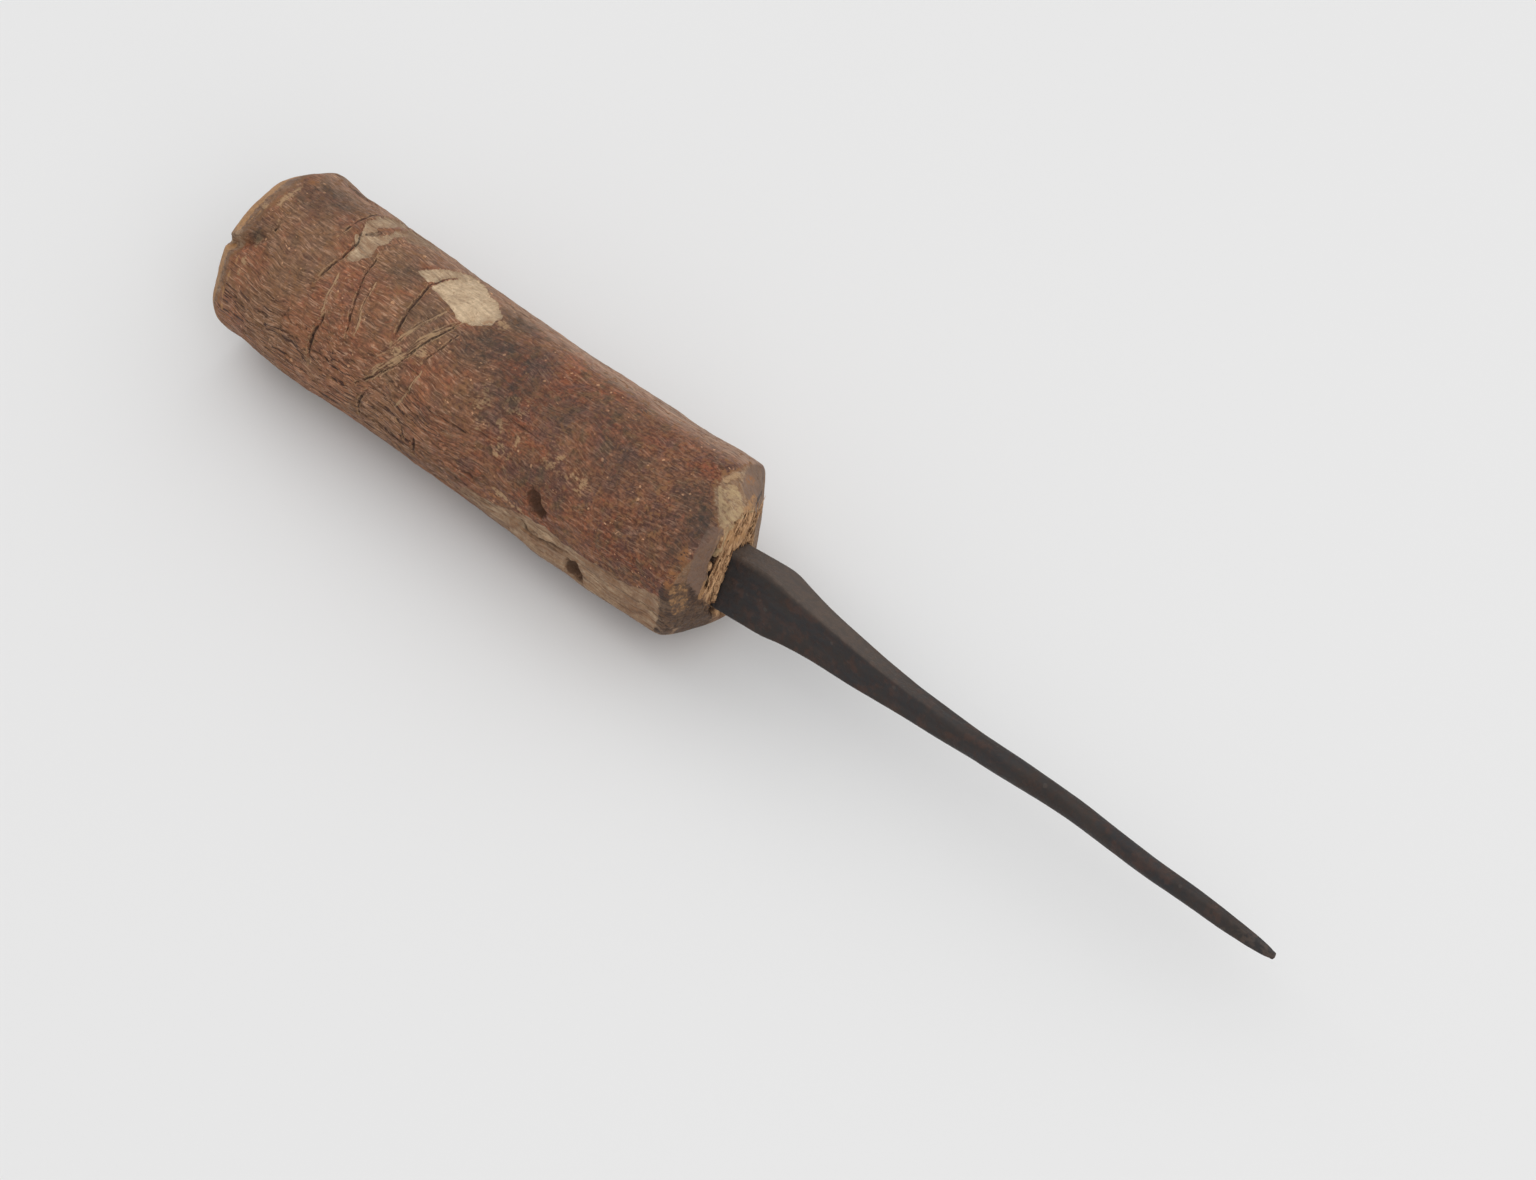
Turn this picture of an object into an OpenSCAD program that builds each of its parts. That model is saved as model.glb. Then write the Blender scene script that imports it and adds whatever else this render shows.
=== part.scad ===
// Bradawl: a length of branch with its bark on, whittled at both ends, driven onto a forged blade.
// Origin: middle of the flat that the handle lies on. +X runs along the tool to its tip, +Z is up.
// A turn is an angle around the tool's axis, in degrees: 0 points to +Y and 90 points up.

/* [Handle] */
// Length of the handle, from the butt to the torn front end
handle_len = 99.5; // [80:0.5:125]
// Diameter of the branch with its bark
branch_dia = 30.4; // [26:0.2:36]
// Depth of the flat that keeps the handle from rolling
rest_depth = 0.8; // [0.6:0.1:1.6]
// Depth of the long shaving taken off the side
shave_depth = 1.1; // [0.4:0.1:2]

/* [Blade] */
// Length of the blade outside the handle
blade_len = 101.7; // [80:0.1:130]
// Length over which the flat root draws down to the round shank
taper_len = 47.5; // [36:0.5:60]
// Width of the blade where it leaves the wood
root_w = 10.8; // [8:0.1:12]
// Thickness of the blade where it leaves the wood
root_t = 4.2; // [3.4:0.1:5.4]
// Width of the round shank where the taper ends
shank_w = 4.3; // [3.4:0.1:5.4]
// Thickness of the round shank where the taper ends
shank_t = 3.25; // [2.6:0.05:4]
// Width of the blunt tip
tip_w = 1.15; // [0.8:0.05:1.8]
// Thickness of the blunt tip
tip_t = 0.75; // [0.5:0.05:1.2]
// Angle that the blade's flat leans from upright
blade_lean = 25; // [0:1:45]

/* [Tang] */
// Length of the tang inside the handle
tang_len = 46; // [30:1:60]
// Width of the tang's blunt end
tang_end_w = 2.6; // [2:0.1:4]
// Thickness of the tang's blunt end
tang_end_t = 2.2; // [1.6:0.1:3]
// Room around the tang in its socket
socket_clearance = 0.05; // [0.02:0.01:0.15]
// Empty length of the socket past the tang's end
socket_gap = 1.5; // [0.5:0.1:4]

/* [Hidden] */

bark_colour = [0.44, 0.28, 0.21];
iron_colour = [0.21, 0.19, 0.18];

branch_r = branch_dia / 2;
axis_z = branch_r - rest_depth;
front_x = handle_len / 2;
butt_x = -handle_len / 2;

// Sides of each ring and steps between rings
branch_sides = 48;
branch_steps = 40;
corner_steps = 5;
blade_steps = 44;
tang_steps = 6;

// The branch: place along it, radius as a share of branch_r, and how far its middle strays
// towards stray_turn as a share of branch_r
branch_shares = [
    [0.000, 1.026, 0.033],
    [0.025, 1.023, 0.042],
    [0.052, 1.010, 0.022],
    [0.082, 1.003, -0.004],
    [0.140, 1.013, -0.020],
    [0.200, 1.010, -0.023],
    [0.270, 0.992, -0.015],
    [0.340, 0.977, -0.018],
    [0.400, 0.980, -0.014],
    [0.550, 0.980, -0.015],
    [0.660, 1.000, -0.006],
    [0.700, 1.012, -0.012],
    [0.755, 1.007, 0.002],
    [0.805, 1.012, 0.000],
    [0.855, 1.013, 0.020],
    [0.900, 1.018, 0.040],
    [0.940, 1.012, 0.050],
    [1.000, 1.000, 0.046],
];
stray_turn = 29;

// The shaving: the turn that it faces, and where along the handle it starts and is at full depth
shave_turn = 175;
shave_start_share = 0.52;
shave_full_share = 0.70;
// How squarely the bark has to face the shaving for it to be cut
shave_reach_share = 0.5;

// Knife cuts over the front end: turn that each faces, distance from the axis to its edge on the
// end face as a share of branch_r, and run back along the handle for each unit outwards
front_cut_shares = [
    [50, 0.783, 1.73],
    [85, 0.868, 3.00],
    [162, 0.513, 0.27],
    [178, 0.625, 0.54],
    [215, 0.572, 0.60],
    [240, 0.475, 0.85],
    [280, 0.500, 0.90],
    [318, 0.420, 0.90],
    [356, 0.235, 0.67],
];

// Knife cuts over the butt, in the same form
butt_cut_shares = [
    [50, 0.868, 1.30],
    [88, 0.825, 1.36],
    [124, 0.825, 1.40],
    [156, 0.795, 1.25],
    [188, 0.925, 1.20],
    [228, 0.868, 1.20],
    [268, 0.829, 1.10],
    [310, 0.862, 1.20],
];

// Knife scores across the bark: half width and depth as shares of branch_r, and a path of
// [place along the handle, turn, share of the full depth]
score_shares = [
    [0.030, 0.034, [[0.172, 70, 0], [0.192, 83, 0.7], [0.199, 98, 1], [0.188, 121, 0]]],
    [0.026, 0.030, [[0.235, 78, 0], [0.250, 99, 1], [0.266, 117, 0.8], [0.287, 143, 0]]],
    [0.030, 0.032, [[0.347, 52, 0], [0.338, 78, 0.8], [0.350, 104, 1], [0.358, 127, 0]]],
    [0.034, 0.042, [[0.234, 131, 0], [0.228, 144, 0.9], [0.228, 156, 1], [0.231, 170, 0]]],
    [0.026, 0.022, [[0.440, 78, 0], [0.418, 104, 0.7], [0.381, 136, 1], [0.306, 171, 0]]],
];

// Rounded hollows, in the same form: the notch in the butt, a scar near it, the two pits beside the
// shaving and the chip between them
hollow_shares = [
    [0.130, 0.280, [[-0.040, 132, 1], [0.000, 132, 0.95], [0.030, 129, 0.5], [0.090, 109, 0]]],
    [0.055, 0.040, [[0.055, 35, 0], [0.085, 41, 1], [0.121, 40, 0.8], [0.142, 35, 0]]],
    [0.066, 0.080, [[0.694, 142, 0], [0.702, 152, 1], [0.712, 162, 0.9], [0.720, 171, 0]]],
    [0.092, 0.090, [[0.760, 181, 0], [0.778, 189, 1], [0.794, 195, 0.9], [0.812, 202, 0]]],
    [0.100, 0.034, [[0.650, 187, 0], [0.690, 182, 1], [0.730, 178, 0.9], [0.762, 175, 0]]],
];

// The flat root drawing down: place along taper_len, width as a share of root_w, thickness as a
// share of root_t, and how round the corners are
taper_shares = [
    [0.000, 1.000, 1.00, 0.10],
    [0.095, 0.990, 1.10, 0.10],
    [0.180, 0.950, 1.19, 0.10],
    [0.255, 0.820, 1.11, 0.12],
    [0.360, 0.700, 0.95, 0.14],
    [0.525, 0.570, 0.87, 0.16],
    [0.630, 0.510, 0.82, 0.20],
    [0.740, 0.460, 0.75, 0.28],
    [0.845, 0.450, 0.71, 0.45],
    [1.000, 0.400, 0.76, 0.85],
];
// Where along the taper the root's sizes start to give way to the shank's
taper_blend_share = 0.5;

// The shank and point: place along the rest of the blade, width as a share of shank_w, thickness
// as a share of shank_t, and how round the corners are
point_shares = [
    [0.000, 1.000, 1.00, 0.85],
    [0.090, 1.000, 1.01, 0.90],
    [0.230, 0.885, 0.95, 0.90],
    [0.365, 0.815, 0.92, 0.90],
    [0.500, 0.790, 0.86, 0.90],
    [0.675, 0.720, 0.77, 0.80],
    [0.760, 0.685, 0.68, 0.70],
    [0.850, 0.630, 0.56, 0.60],
    [0.935, 0.510, 0.40, 0.50],
    [1.000, 0.270, 0.23, 0.40],
];
// Where along the point the shank's sizes start to give way to the tip's
point_blend_share = 0.9;

// The blade's bends: place along the blade, and how far its middle lies towards +Y and +Z of the
// handle's axis as shares of root_w
bend_shares = [
    [0.000, -0.110, 0.094],
    [0.085, -0.043, 0.094],
    [0.170, -0.044, 0.060],
    [0.270, -0.054, 0.023],
    [0.395, -0.038, 0.011],
    [0.490, -0.009, 0.016],
    [0.565, 0.020, 0.021],
    [0.640, 0.037, 0.020],
    [0.730, 0.009, 0.005],
    [0.780, -0.004, -0.002],
    [0.850, 0.000, 0.000],
    [0.920, -0.010, -0.005],
    [1.000, -0.015, -0.008],
];

// How square the tang's corners are left by the hammer
tang_corner_share = 0.10;
// How much closer the rings lie at the root than at the tip
ring_spread = 1.3;

// Steps along a score or hollow, and sides of its section: a score is a V and a hollow is round
cut_steps = 8;
score_sides = 2;
hollow_sides = 6;
// Width of a score or hollow where it runs out, and how far its block stands out of the bark
cut_end_share = 0.3;
cut_rise_share = 0.1;

// How far a cutting block runs past what it cuts
overrun = branch_dia;

// Value a share t of the way from a to b
function mix(a, b, t) = a + (b - a) * t;

// Smooth step from 0 at `low` to 1 at `high`
function ease(low, high, at) =
    let (t = max(0, min(1, (at - low) / (high - low))))
    t * t * (3 - 2 * t);

// Row of the table after which the place `at` comes
function row_before(table, at, i = 0) =
    i >= len(table) - 2 || at < table[i + 1][0] ? i : row_before(table, at, i + 1);

// Smooth curve through one column of a table whose first column is the place
function curve(table, at, column) =
    let (
        i = row_before(table, at),
        a = table[i],
        b = table[i + 1],
        before = table[max(i - 1, 0)],
        after = table[min(i + 2, len(table) - 1)],
        w = b[0] - a[0],
        t = (at - a[0]) / w,
        slope_a = (b[column] - before[column]) / (b[0] - before[0]) * w,
        slope_b = (after[column] - a[column]) / (after[0] - a[0]) * w
    )
    (2 * t ^ 3 - 3 * t ^ 2 + 1) * a[column]
    + (t ^ 3 - 2 * t ^ 2 + t) * slope_a
    + (3 * t ^ 2 - 2 * t ^ 3) * b[column]
    + (t ^ 3 - t ^ 2) * slope_b;

// Solid through a list of rings that all have the same number of points, closed at both ends
module loft(rings) {
    sides = len(rings[0]);
    last = (len(rings) - 1) * sides;
    points = [for (ring = rings) each ring];
    walls = [
        for (k = [0 : len(rings) - 2], i = [0 : sides - 1])
            let (a = k * sides + i, b = k * sides + (i + 1) % sides)
            each [[a, a + sides, b], [b, a + sides, b + sides]]
    ];
    start_cap = [[for (i = [0 : sides - 1]) i]];
    end_cap = [[for (i = [sides - 1 : -1 : 0]) last + i]];
    polyhedron(points, concat(walls, start_cap, end_cap));
}

// Radius of the branch at a place along it and a turn, with the shaving taken off
function branch_radius(at, turn) =
    let (
        bark = branch_r * curve(branch_shares, at, 1),
        shaved = branch_r - shave_depth * ease(shave_start_share, shave_full_share, at),
        facing = cos(turn - shave_turn),
        outside = at <= shave_start_share || facing < shave_reach_share
    )
    outside ? bark : min(bark, shaved / facing);

// Point at a place along the branch and a turn, `out` further from its middle than its surface
function branch_point(at, turn, out) =
    let (
        on = max(0, min(1, at)),
        stray = branch_r * curve(branch_shares, on, 2),
        r = branch_radius(on, turn) + out
    )
    [
        mix(butt_x, front_x, at),
        stray * cos(stray_turn) + r * cos(turn),
        axis_z + stray * sin(stray_turn) + r * sin(turn),
    ];

// One ring of the branch
function branch_ring(at) =
    [for (i = [0 : branch_sides - 1]) branch_point(at, 360 * i / branch_sides, 0)];

// Stations along a score or hollow, joined by a smooth curve through its path
function cut_stations(path) =
    let (table = [for (k = [0 : len(path) - 1]) concat([k / (len(path) - 1)], path[k])])
    [for (k = [0 : cut_steps]) [for (column = [1 : 3]) curve(table, k / cut_steps, column)]];

// Section of a cutting block: [across the cut, out of the bark] for each corner
function cut_section(half_w, depth, sides) = [
    for (i = [0 : sides])
        let (angle = 180 + 180 * i / sides)
        [half_w * cos(angle), depth * sin(angle)],
    [half_w, cut_rise_share * branch_r],
    [-half_w, cut_rise_share * branch_r],
];

// Ring of a cutting block square across its path at station k
function cut_ring(stations, k, cut, sides) =
    let (
        here = stations[k],
        before = stations[max(k - 1, 0)],
        after = stations[min(k + 1, cut_steps)],
        along = handle_len * (after[0] - before[0]),
        around = branch_r * PI * (after[1] - before[1]) / 180,
        run = norm([along, around]),
        full = max(0, here[2]),
        half_w = branch_r * cut[0] * mix(cut_end_share, 1, full)
    )
    [for (p = cut_section(half_w, branch_r * cut[1] * full, sides))
        branch_point(
            here[0] + p[0] * around / run / handle_len,
            here[1] - p[0] * along / run / branch_r * 180 / PI,
            p[1]
        )];

// Block that cuts one score or hollow out of the branch
module bark_cut(cut, sides) {
    stations = cut_stations(cut[2]);
    loft([for (k = [0 : cut_steps]) cut_ring(stations, k, cut, sides)]);
}

// Block whose face is one flat knife cut over an end: way is 1 at the front and -1 at the butt
module end_cut(end_x, way, cut) {
    face_angle = atan(cut[2]);
    block = 2 * overrun;
    translate([end_x, 0, axis_z])
        rotate([cut[0], 0, 0])
            translate([0, cut[1] * branch_r, 0])
                rotate([0, 0, way > 0 ? face_angle : 180 - face_angle])
                    translate([0, -block / 2, -block / 2])
                        cube(block);
}

// One four-cornered section, its corners going from square to round as roundness goes from 0 to 1
function section(w, t, roundness) = [
    for (corner = [0 : 3], i = [0 : corner_steps])
        let (
            angle = 90 * (corner + i / corner_steps),
            side_w = corner == 0 || corner == 3 ? 1 : -1,
            side_t = corner < 2 ? 1 : -1
        )
        [
            w / 2 * (side_w * (1 - roundness) + roundness * cos(angle)),
            t / 2 * (side_t * (1 - roundness) + roundness * sin(angle)),
        ]
];

// A section set upright across the tool at x, leaned over and centred on [y, z]
function leaned_ring(x, centre, flat) = [
    for (p = flat) [
        x,
        centre[0] + p[0] * sin(blade_lean) - p[1] * cos(blade_lean),
        centre[1] + p[0] * cos(blade_lean) + p[1] * sin(blade_lean),
    ]
];

// Middle of the blade, across the tool, at a place along it
function blade_middle(at) = [
    root_w * curve(bend_shares, at, 1),
    axis_z + root_w * curve(bend_shares, at, 2),
];

// Width, thickness and roundness at a distance from the wood along the flat root
function taper_size(x) =
    let (at = x / taper_len, blend = ease(taper_blend_share, 1, at))
    [
        mix(root_w * curve(taper_shares, at, 1), shank_w, blend),
        mix(root_t * curve(taper_shares, at, 2), shank_t, blend),
        curve(taper_shares, at, 3),
    ];

// Width, thickness and roundness at a distance from the wood along the shank and point
function point_size(x) =
    let (
        at = (x - taper_len) / (blade_len - taper_len),
        blend = ease(point_blend_share, 1, at)
    )
    [
        mix(shank_w * curve(point_shares, at, 1), tip_w, blend),
        mix(shank_t * curve(point_shares, at, 2), tip_t, blend),
        curve(point_shares, at, 3),
    ];

// One ring of the blade at a place along it
function blade_ring(at) =
    let (x = at * blade_len, size = x < taper_len ? taper_size(x) : point_size(x))
    leaned_ring(front_x + x, blade_middle(at), section(size[0], size[1], size[2]));

// Rings of the tang from its blunt end up to the wood's face, grown outwards by `room`
function tang_rings(room, end_room) = [
    for (i = [0 : tang_steps])
        let (
            at = i / tang_steps,
            root = blade_middle(0),
            w = mix(tang_end_w, root_w, at) + 2 * room,
            t = mix(tang_end_t, root_t, at) + 2 * room,
            centre = [mix(0, root[0], at), mix(axis_z, root[1], at)],
            back = (1 - at) * tang_len + (i == 0 ? end_room : 0)
        )
        leaned_ring(front_x - back, centre, section(w, t, tang_corner_share))
];

// Hollow that the tang sits in, open through the wood's torn front
module socket() {
    rings = tang_rings(socket_clearance, socket_gap);
    mouth = [for (p = rings[tang_steps]) p + [overrun, 0, 0]];
    loft(concat(rings, [mouth]));
}

// The branch, cut flat underneath and whittled over both ends
module handle() {
    color(bark_colour)
        difference() {
            loft([for (k = [0 : branch_steps]) branch_ring(k / branch_steps)]);
            translate([butt_x - overrun, -overrun, -overrun])
                cube([handle_len + 2 * overrun, 2 * overrun, overrun]);
            for (cut = front_cut_shares) end_cut(front_x, 1, cut);
            for (cut = butt_cut_shares) end_cut(butt_x, -1, cut);
            for (cut = score_shares) bark_cut(cut, score_sides);
            for (cut = hollow_shares) bark_cut(cut, hollow_sides);
            socket();
        }
}

// The forging: tang, swelling root, round shank and blunt tip in one loft
module blade() {
    tang = tang_rings(0, 0);
    outside = [for (k = [1 : blade_steps]) blade_ring((k / blade_steps) ^ ring_spread)];
    color(iron_colour) loft(concat(tang, outside));
}

handle();
blade();
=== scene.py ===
"""A hand-made bradawl: a whittled branch handle with its bark on, driven onto a forged blade.

Sizes in the classes are millimetres, and every mesh is written in metres. +X runs along the tool
to its tip and +Z is up. A turn is an angle around the handle's axis in degrees, where 0 points
to +Y and 90 points up. The bark's marks are placed by (place along the tool, turn).
"""

import logging
import math
from dataclasses import asdict, dataclass, field, fields
from enum import Enum

import bpy
import numpy as np
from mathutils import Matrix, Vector


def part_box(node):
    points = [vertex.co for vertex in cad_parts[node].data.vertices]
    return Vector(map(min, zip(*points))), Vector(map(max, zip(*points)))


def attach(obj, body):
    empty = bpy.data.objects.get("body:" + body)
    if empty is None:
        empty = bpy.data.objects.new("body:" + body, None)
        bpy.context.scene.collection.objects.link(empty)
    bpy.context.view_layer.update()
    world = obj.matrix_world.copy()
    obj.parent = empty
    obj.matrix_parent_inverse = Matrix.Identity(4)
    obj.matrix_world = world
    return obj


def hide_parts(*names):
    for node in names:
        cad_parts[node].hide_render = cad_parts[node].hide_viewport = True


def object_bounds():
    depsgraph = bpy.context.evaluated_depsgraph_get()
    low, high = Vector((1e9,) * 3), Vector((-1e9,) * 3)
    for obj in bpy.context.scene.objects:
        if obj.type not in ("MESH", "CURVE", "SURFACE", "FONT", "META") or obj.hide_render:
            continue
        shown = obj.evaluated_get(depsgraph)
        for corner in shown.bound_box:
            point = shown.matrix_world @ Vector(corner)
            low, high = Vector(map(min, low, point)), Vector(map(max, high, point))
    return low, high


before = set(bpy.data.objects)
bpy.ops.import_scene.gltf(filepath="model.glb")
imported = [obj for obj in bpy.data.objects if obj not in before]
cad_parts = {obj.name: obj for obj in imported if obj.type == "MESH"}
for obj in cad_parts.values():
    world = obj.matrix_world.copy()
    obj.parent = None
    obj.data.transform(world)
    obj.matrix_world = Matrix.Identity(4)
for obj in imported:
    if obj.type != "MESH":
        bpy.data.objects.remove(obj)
CAD_LOW, CAD_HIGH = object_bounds()

MM = 0.001
FAR = 60.0

Array = np.ndarray
Line = tuple[tuple[float, float], ...]
Table = tuple[tuple[float, ...], ...]
Colour = tuple[float, float, float, float]
Span = tuple[float, float]

log = logging.getLogger("bradawl")


class Slot(Enum):
    """Material slots of the record."""

    BARK_WOOD = "bark_wood"
    FORGED_IRON = "forged_iron"


class Paint(Enum):
    """Values carried by the handle's vertices for its finish."""

    UNDER = "under_bark"
    BARE = "bare_wood"
    TONE = "wood_tone"
    CUT = "knife_cut"
    CRACK_SHADE = "crack_and_hollow_shade"
    GRAIN_AND_SHEEN = "grain_and_sheen"
    SMUDGE = "soot"
    PALE = "pale_spots"
    WORN = "worn_orange"
    TORN = "torn_grain"
    PIT_SHADE = "pit_shade_share"
    SCRAPE = "scrape_share"
    ALONG = "scrape_along"
    ACROSS = "scrape_across"
    GREY = "grey_cut"
    CREAM = "cream_cut_and_highlight"
    TAN = "tan_cut_and_highlight"
    DARK = "dark_cut_and_shade"


def srgb(red: int, green: int, blue: int) -> Colour:
    """Linear colour of a screen colour.

    Args:
        red: Red from 0 to 255.
        green: Green from 0 to 255.
        blue: Blue from 0 to 255.

    Returns:
        The linear red, green and blue with full opacity.
    """
    shares = [value / 255.0 for value in (red, green, blue)]
    linear = [s / 12.92 if s <= 0.04045 else ((s + 0.055) / 1.055) ** 2.4 for s in shares]
    return (linear[0], linear[1], linear[2], 1.0)


def ease(low: float, high: float, at: Array) -> Array:
    """Smooth step from 0 at `low` to 1 at `high`, which may lie either way round."""
    t = np.clip((at - low) / (high - low), 0.0, 1.0)
    return t * t * (3.0 - 2.0 * t)


def curve(table: Table, at: Array, column: int) -> Array:
    """Smooth curve through one column of a table whose first column is the place.

    Args:
        table: Rows of a place and the values there.
        at: Places to read the curve at.
        column: The column to read.

    Returns:
        The value at each place.
    """
    rows = np.asarray(table, float)
    at = np.asarray(at, float)
    i = np.clip(np.searchsorted(rows[:, 0], at, side="right") - 1, 0, len(rows) - 2)
    a, b = rows[i], rows[i + 1]
    before = rows[np.maximum(i - 1, 0)]
    after = rows[np.minimum(i + 2, len(rows) - 1)]
    width = b[..., 0] - a[..., 0]
    t = (at - a[..., 0]) / width
    slope_a = (b[..., column] - before[..., column]) / (b[..., 0] - before[..., 0]) * width
    slope_b = (after[..., column] - a[..., column]) / (after[..., 0] - a[..., 0]) * width
    return (
        (2 * t**3 - 3 * t**2 + 1) * a[..., column]
        + (t**3 - 2 * t**2 + t) * slope_a
        + (3 * t**2 - 2 * t**3) * b[..., column]
        + (t**3 - t**2) * slope_b
    )


def smooth_least(a: Array, b: Array, reach: float) -> Array:
    """The lesser of two distances, blended where they come within `reach` of each other."""
    blend = np.maximum(reach - np.abs(a - b), 0.0) / reach
    return np.minimum(a, b) - blend * blend * reach / 4.0


def spaced(table: Table) -> Array:
    """Places from the first row's to the last row's, at the spacing that the rows give.

    Args:
        table: Rows of a place and the spacing there.

    Returns:
        The places, both ends among them.
    """
    rows = np.asarray(table, float)
    fine = np.linspace(rows[0, 0], rows[-1, 0], 4000)
    count = np.cumsum(1.0 / np.interp(fine, rows[:, 0], rows[:, 1])) * (fine[1] - fine[0])
    count -= count[0]
    steps = int(round(count[-1]))
    return np.interp(np.linspace(0.0, count[-1], steps + 1), count, fine)


@dataclass(frozen=True)
class Relief:
    """A layer of noise: lump size in mm, finer layers, shift that sets it apart, and height."""

    size: float | tuple[float, float, float]
    layers: int
    shift: float = 0.0
    height: float = 1.0


@dataclass
class Noise:
    """Smooth seeded noise from 0 to 1 over points in space."""

    seed: int
    cells: int = 32
    values: Array = field(init=False, repr=False)

    def __post_init__(self) -> None:
        """Draws the lattice of random values."""
        self.values = np.random.default_rng(self.seed).random((self.cells,) * 3)

    def at(self, points: Array, size: float | tuple[float, float, float]) -> Array:
        """Noise at some points.

        Args:
            points: Points in millimetres, in the last axis.
            size: Size of one lump, for all axes or for each.

        Returns:
            One value a point.
        """
        scaled = points / np.asarray(size, float)
        low = np.floor(scaled).astype(int)
        part = scaled - low
        part = part * part * (3.0 - 2.0 * part)
        total = np.zeros(points.shape[:-1])
        for corner in np.ndindex(2, 2, 2):
            index = (low + corner) % self.cells
            weight = np.prod(np.where(np.array(corner) == 1, part, 1.0 - part), axis=-1)
            total += self.values[index[..., 0], index[..., 1], index[..., 2]] * weight
        return total

    def layered(self, points: Array, size: float | tuple[float, float, float], layers: int) -> Array:
        """Noise with finer noise added, each layer half the size and strength of the last.

        Args:
            points: Points in millimetres, in the last axis.
            size: Size of the largest lumps.
            layers: Number of layers.

        Returns:
            One value from 0 to 1 a point.
        """
        total = np.zeros(points.shape[:-1])
        full = 0.0
        for layer in range(layers):
            strength = 0.5**layer
            total += strength * self.at(points * 2.0**layer + 11.7 * layer, size)
            full += strength
        return total / full

    def relief(self, points: Array, relief: Relief) -> Array:
        """Height of a layer of noise at some points."""
        return self.layered(points + relief.shift, relief.size, relief.layers) * relief.height


@dataclass(frozen=True)
class Mark:
    """One mark on the handle, along a line of (place in mm, turn in degrees)."""

    line: Line
    half_width: float
    depth: float


@dataclass(frozen=True)
class Patch:
    """A place where the bark is off, inside an outline of (place in mm, turn in degrees)."""

    outline: Line
    depth: float
    tone: float
    ragged: float = 1.3


@dataclass(frozen=True)
class Spot:
    """A soft-edged spot of colour: its place, turn, half size along and around, and strength."""

    place: float
    turn: float
    along: float
    around: float
    strength: float


@dataclass(frozen=True)
class Stain:
    """A stain on the cut ends, along a line of (place in mm, turn in degrees, distance from axis); thin
    pale ones along ridges are painted highlights, and the dark ones low on the front end are painted shade.
    """

    line: Table
    half_width: float
    strength: float


def to_line(flat: Array, line: Table, closed: bool = False) -> tuple[Array, Array]:
    """Distance from points to a line of joined pieces.

    Args:
        flat: Points in the last axis, flat or in space.
        line: The line's points.
        closed: Whether the last point joins the first.

    Returns:
        The distance, and how far along the line the nearest point is, from 0 to 1.
    """
    ends = np.asarray(line + line[:1] if closed else line, float)
    lengths = np.linalg.norm(ends[1:] - ends[:-1], axis=-1)
    starts = np.concatenate([[0.0], np.cumsum(lengths)])
    best = np.full(flat.shape[:-1], 1e9)
    along = np.zeros(flat.shape[:-1])
    for a, b, length, start in zip(ends[:-1], ends[1:], lengths, starts):
        step = (b - a) / max(length, 1e-9)
        run = np.clip((flat - a) @ step, 0.0, length)
        away = np.linalg.norm(flat - a - run[..., None] * step, axis=-1)
        nearer = away < best
        best = np.where(nearer, away, best)
        along = np.where(nearer, (start + run) / starts[-1], along)
    return best, along


def inside(flat: Array, outline: Line) -> Array:
    """Whether flat points lie inside a closed outline.

    Args:
        flat: Points in the last axis, two values each.
        outline: The outline's corners.

    Returns:
        True for each point that is inside.
    """
    corners = np.asarray(outline, float)
    within = np.zeros(flat.shape[:-1], bool)
    for a, b in zip(corners, np.roll(corners, -1, axis=0)):
        crosses = (a[1] > flat[..., 1]) != (b[1] > flat[..., 1])
        rise = b[1] - a[1] if b[1] != a[1] else 1e-9
        edge = a[0] + (flat[..., 1] - a[1]) / rise * (b[0] - a[0])
        within ^= crosses & (flat[..., 0] < edge)
    return within


def grid_faces(rows: int, columns: int) -> list[tuple[int, int, int, int]]:
    """Faces of a closed band of rings, pointing outwards.

    Args:
        rows: Number of rings.
        columns: Points in each ring.

    Returns:
        Four point numbers a face.
    """
    row, column = np.meshgrid(np.arange(rows - 1), np.arange(columns), indexing="ij")
    following = (column + 1) % columns
    faces = np.stack(
        [
            row * columns + column,
            row * columns + following,
            (row + 1) * columns + following,
            (row + 1) * columns + column,
        ],
        axis=-1,
    )
    return [tuple(face) for face in faces.reshape(-1, 4).tolist()]


def mesh_piece(name: str, points: Array, faces: list[tuple[int, ...]]) -> bpy.types.Object:
    """A smooth-shaded mesh object at the origin.

    Args:
        name: Name of the piece.
        points: Points in millimetres.
        faces: Point numbers of each face.

    Returns:
        The new object.
    """
    mesh = bpy.data.meshes.new(name)
    mesh.from_pydata((points * MM).tolist(), [], faces)
    mesh.validate()
    mesh.polygons.foreach_set("use_smooth", [True] * len(mesh.polygons))
    piece = bpy.data.objects.new(name, mesh)
    bpy.context.scene.collection.objects.link(piece)
    return piece


def carry(mesh: bpy.types.Mesh, name: str, values: Array) -> None:
    """Stores one value a vertex on a mesh."""
    attribute = mesh.attributes.new(name, "FLOAT", "POINT")
    attribute.data.foreach_set("value", np.asarray(values, np.float32).ravel())


class Wire:
    """One number or vector in a node tree, with the usual signs for arithmetic."""

    def __init__(self, graph: "Graph", socket: bpy.types.NodeSocket) -> None:
        """Keeps the graph and the socket that the value comes from."""
        self.graph = graph
        self.socket = socket

    def __add__(self, other: "Wire | float") -> "Wire":
        """This value plus another."""
        return self.graph.math("ADD", self, other)

    def __sub__(self, other: "Wire | float") -> "Wire":
        """This value less another."""
        return self.graph.math("SUBTRACT", self, other)

    def __rsub__(self, other: "Wire | float") -> "Wire":
        """Another value less this one."""
        return self.graph.math("SUBTRACT", other, self)

    def __mul__(self, other: "Wire | float") -> "Wire":
        """This value times another."""
        return self.graph.math("MULTIPLY", self, other)

    def __truediv__(self, other: "Wire | float") -> "Wire":
        """This value divided by another."""
        return self.graph.math("DIVIDE", self, other)


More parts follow.
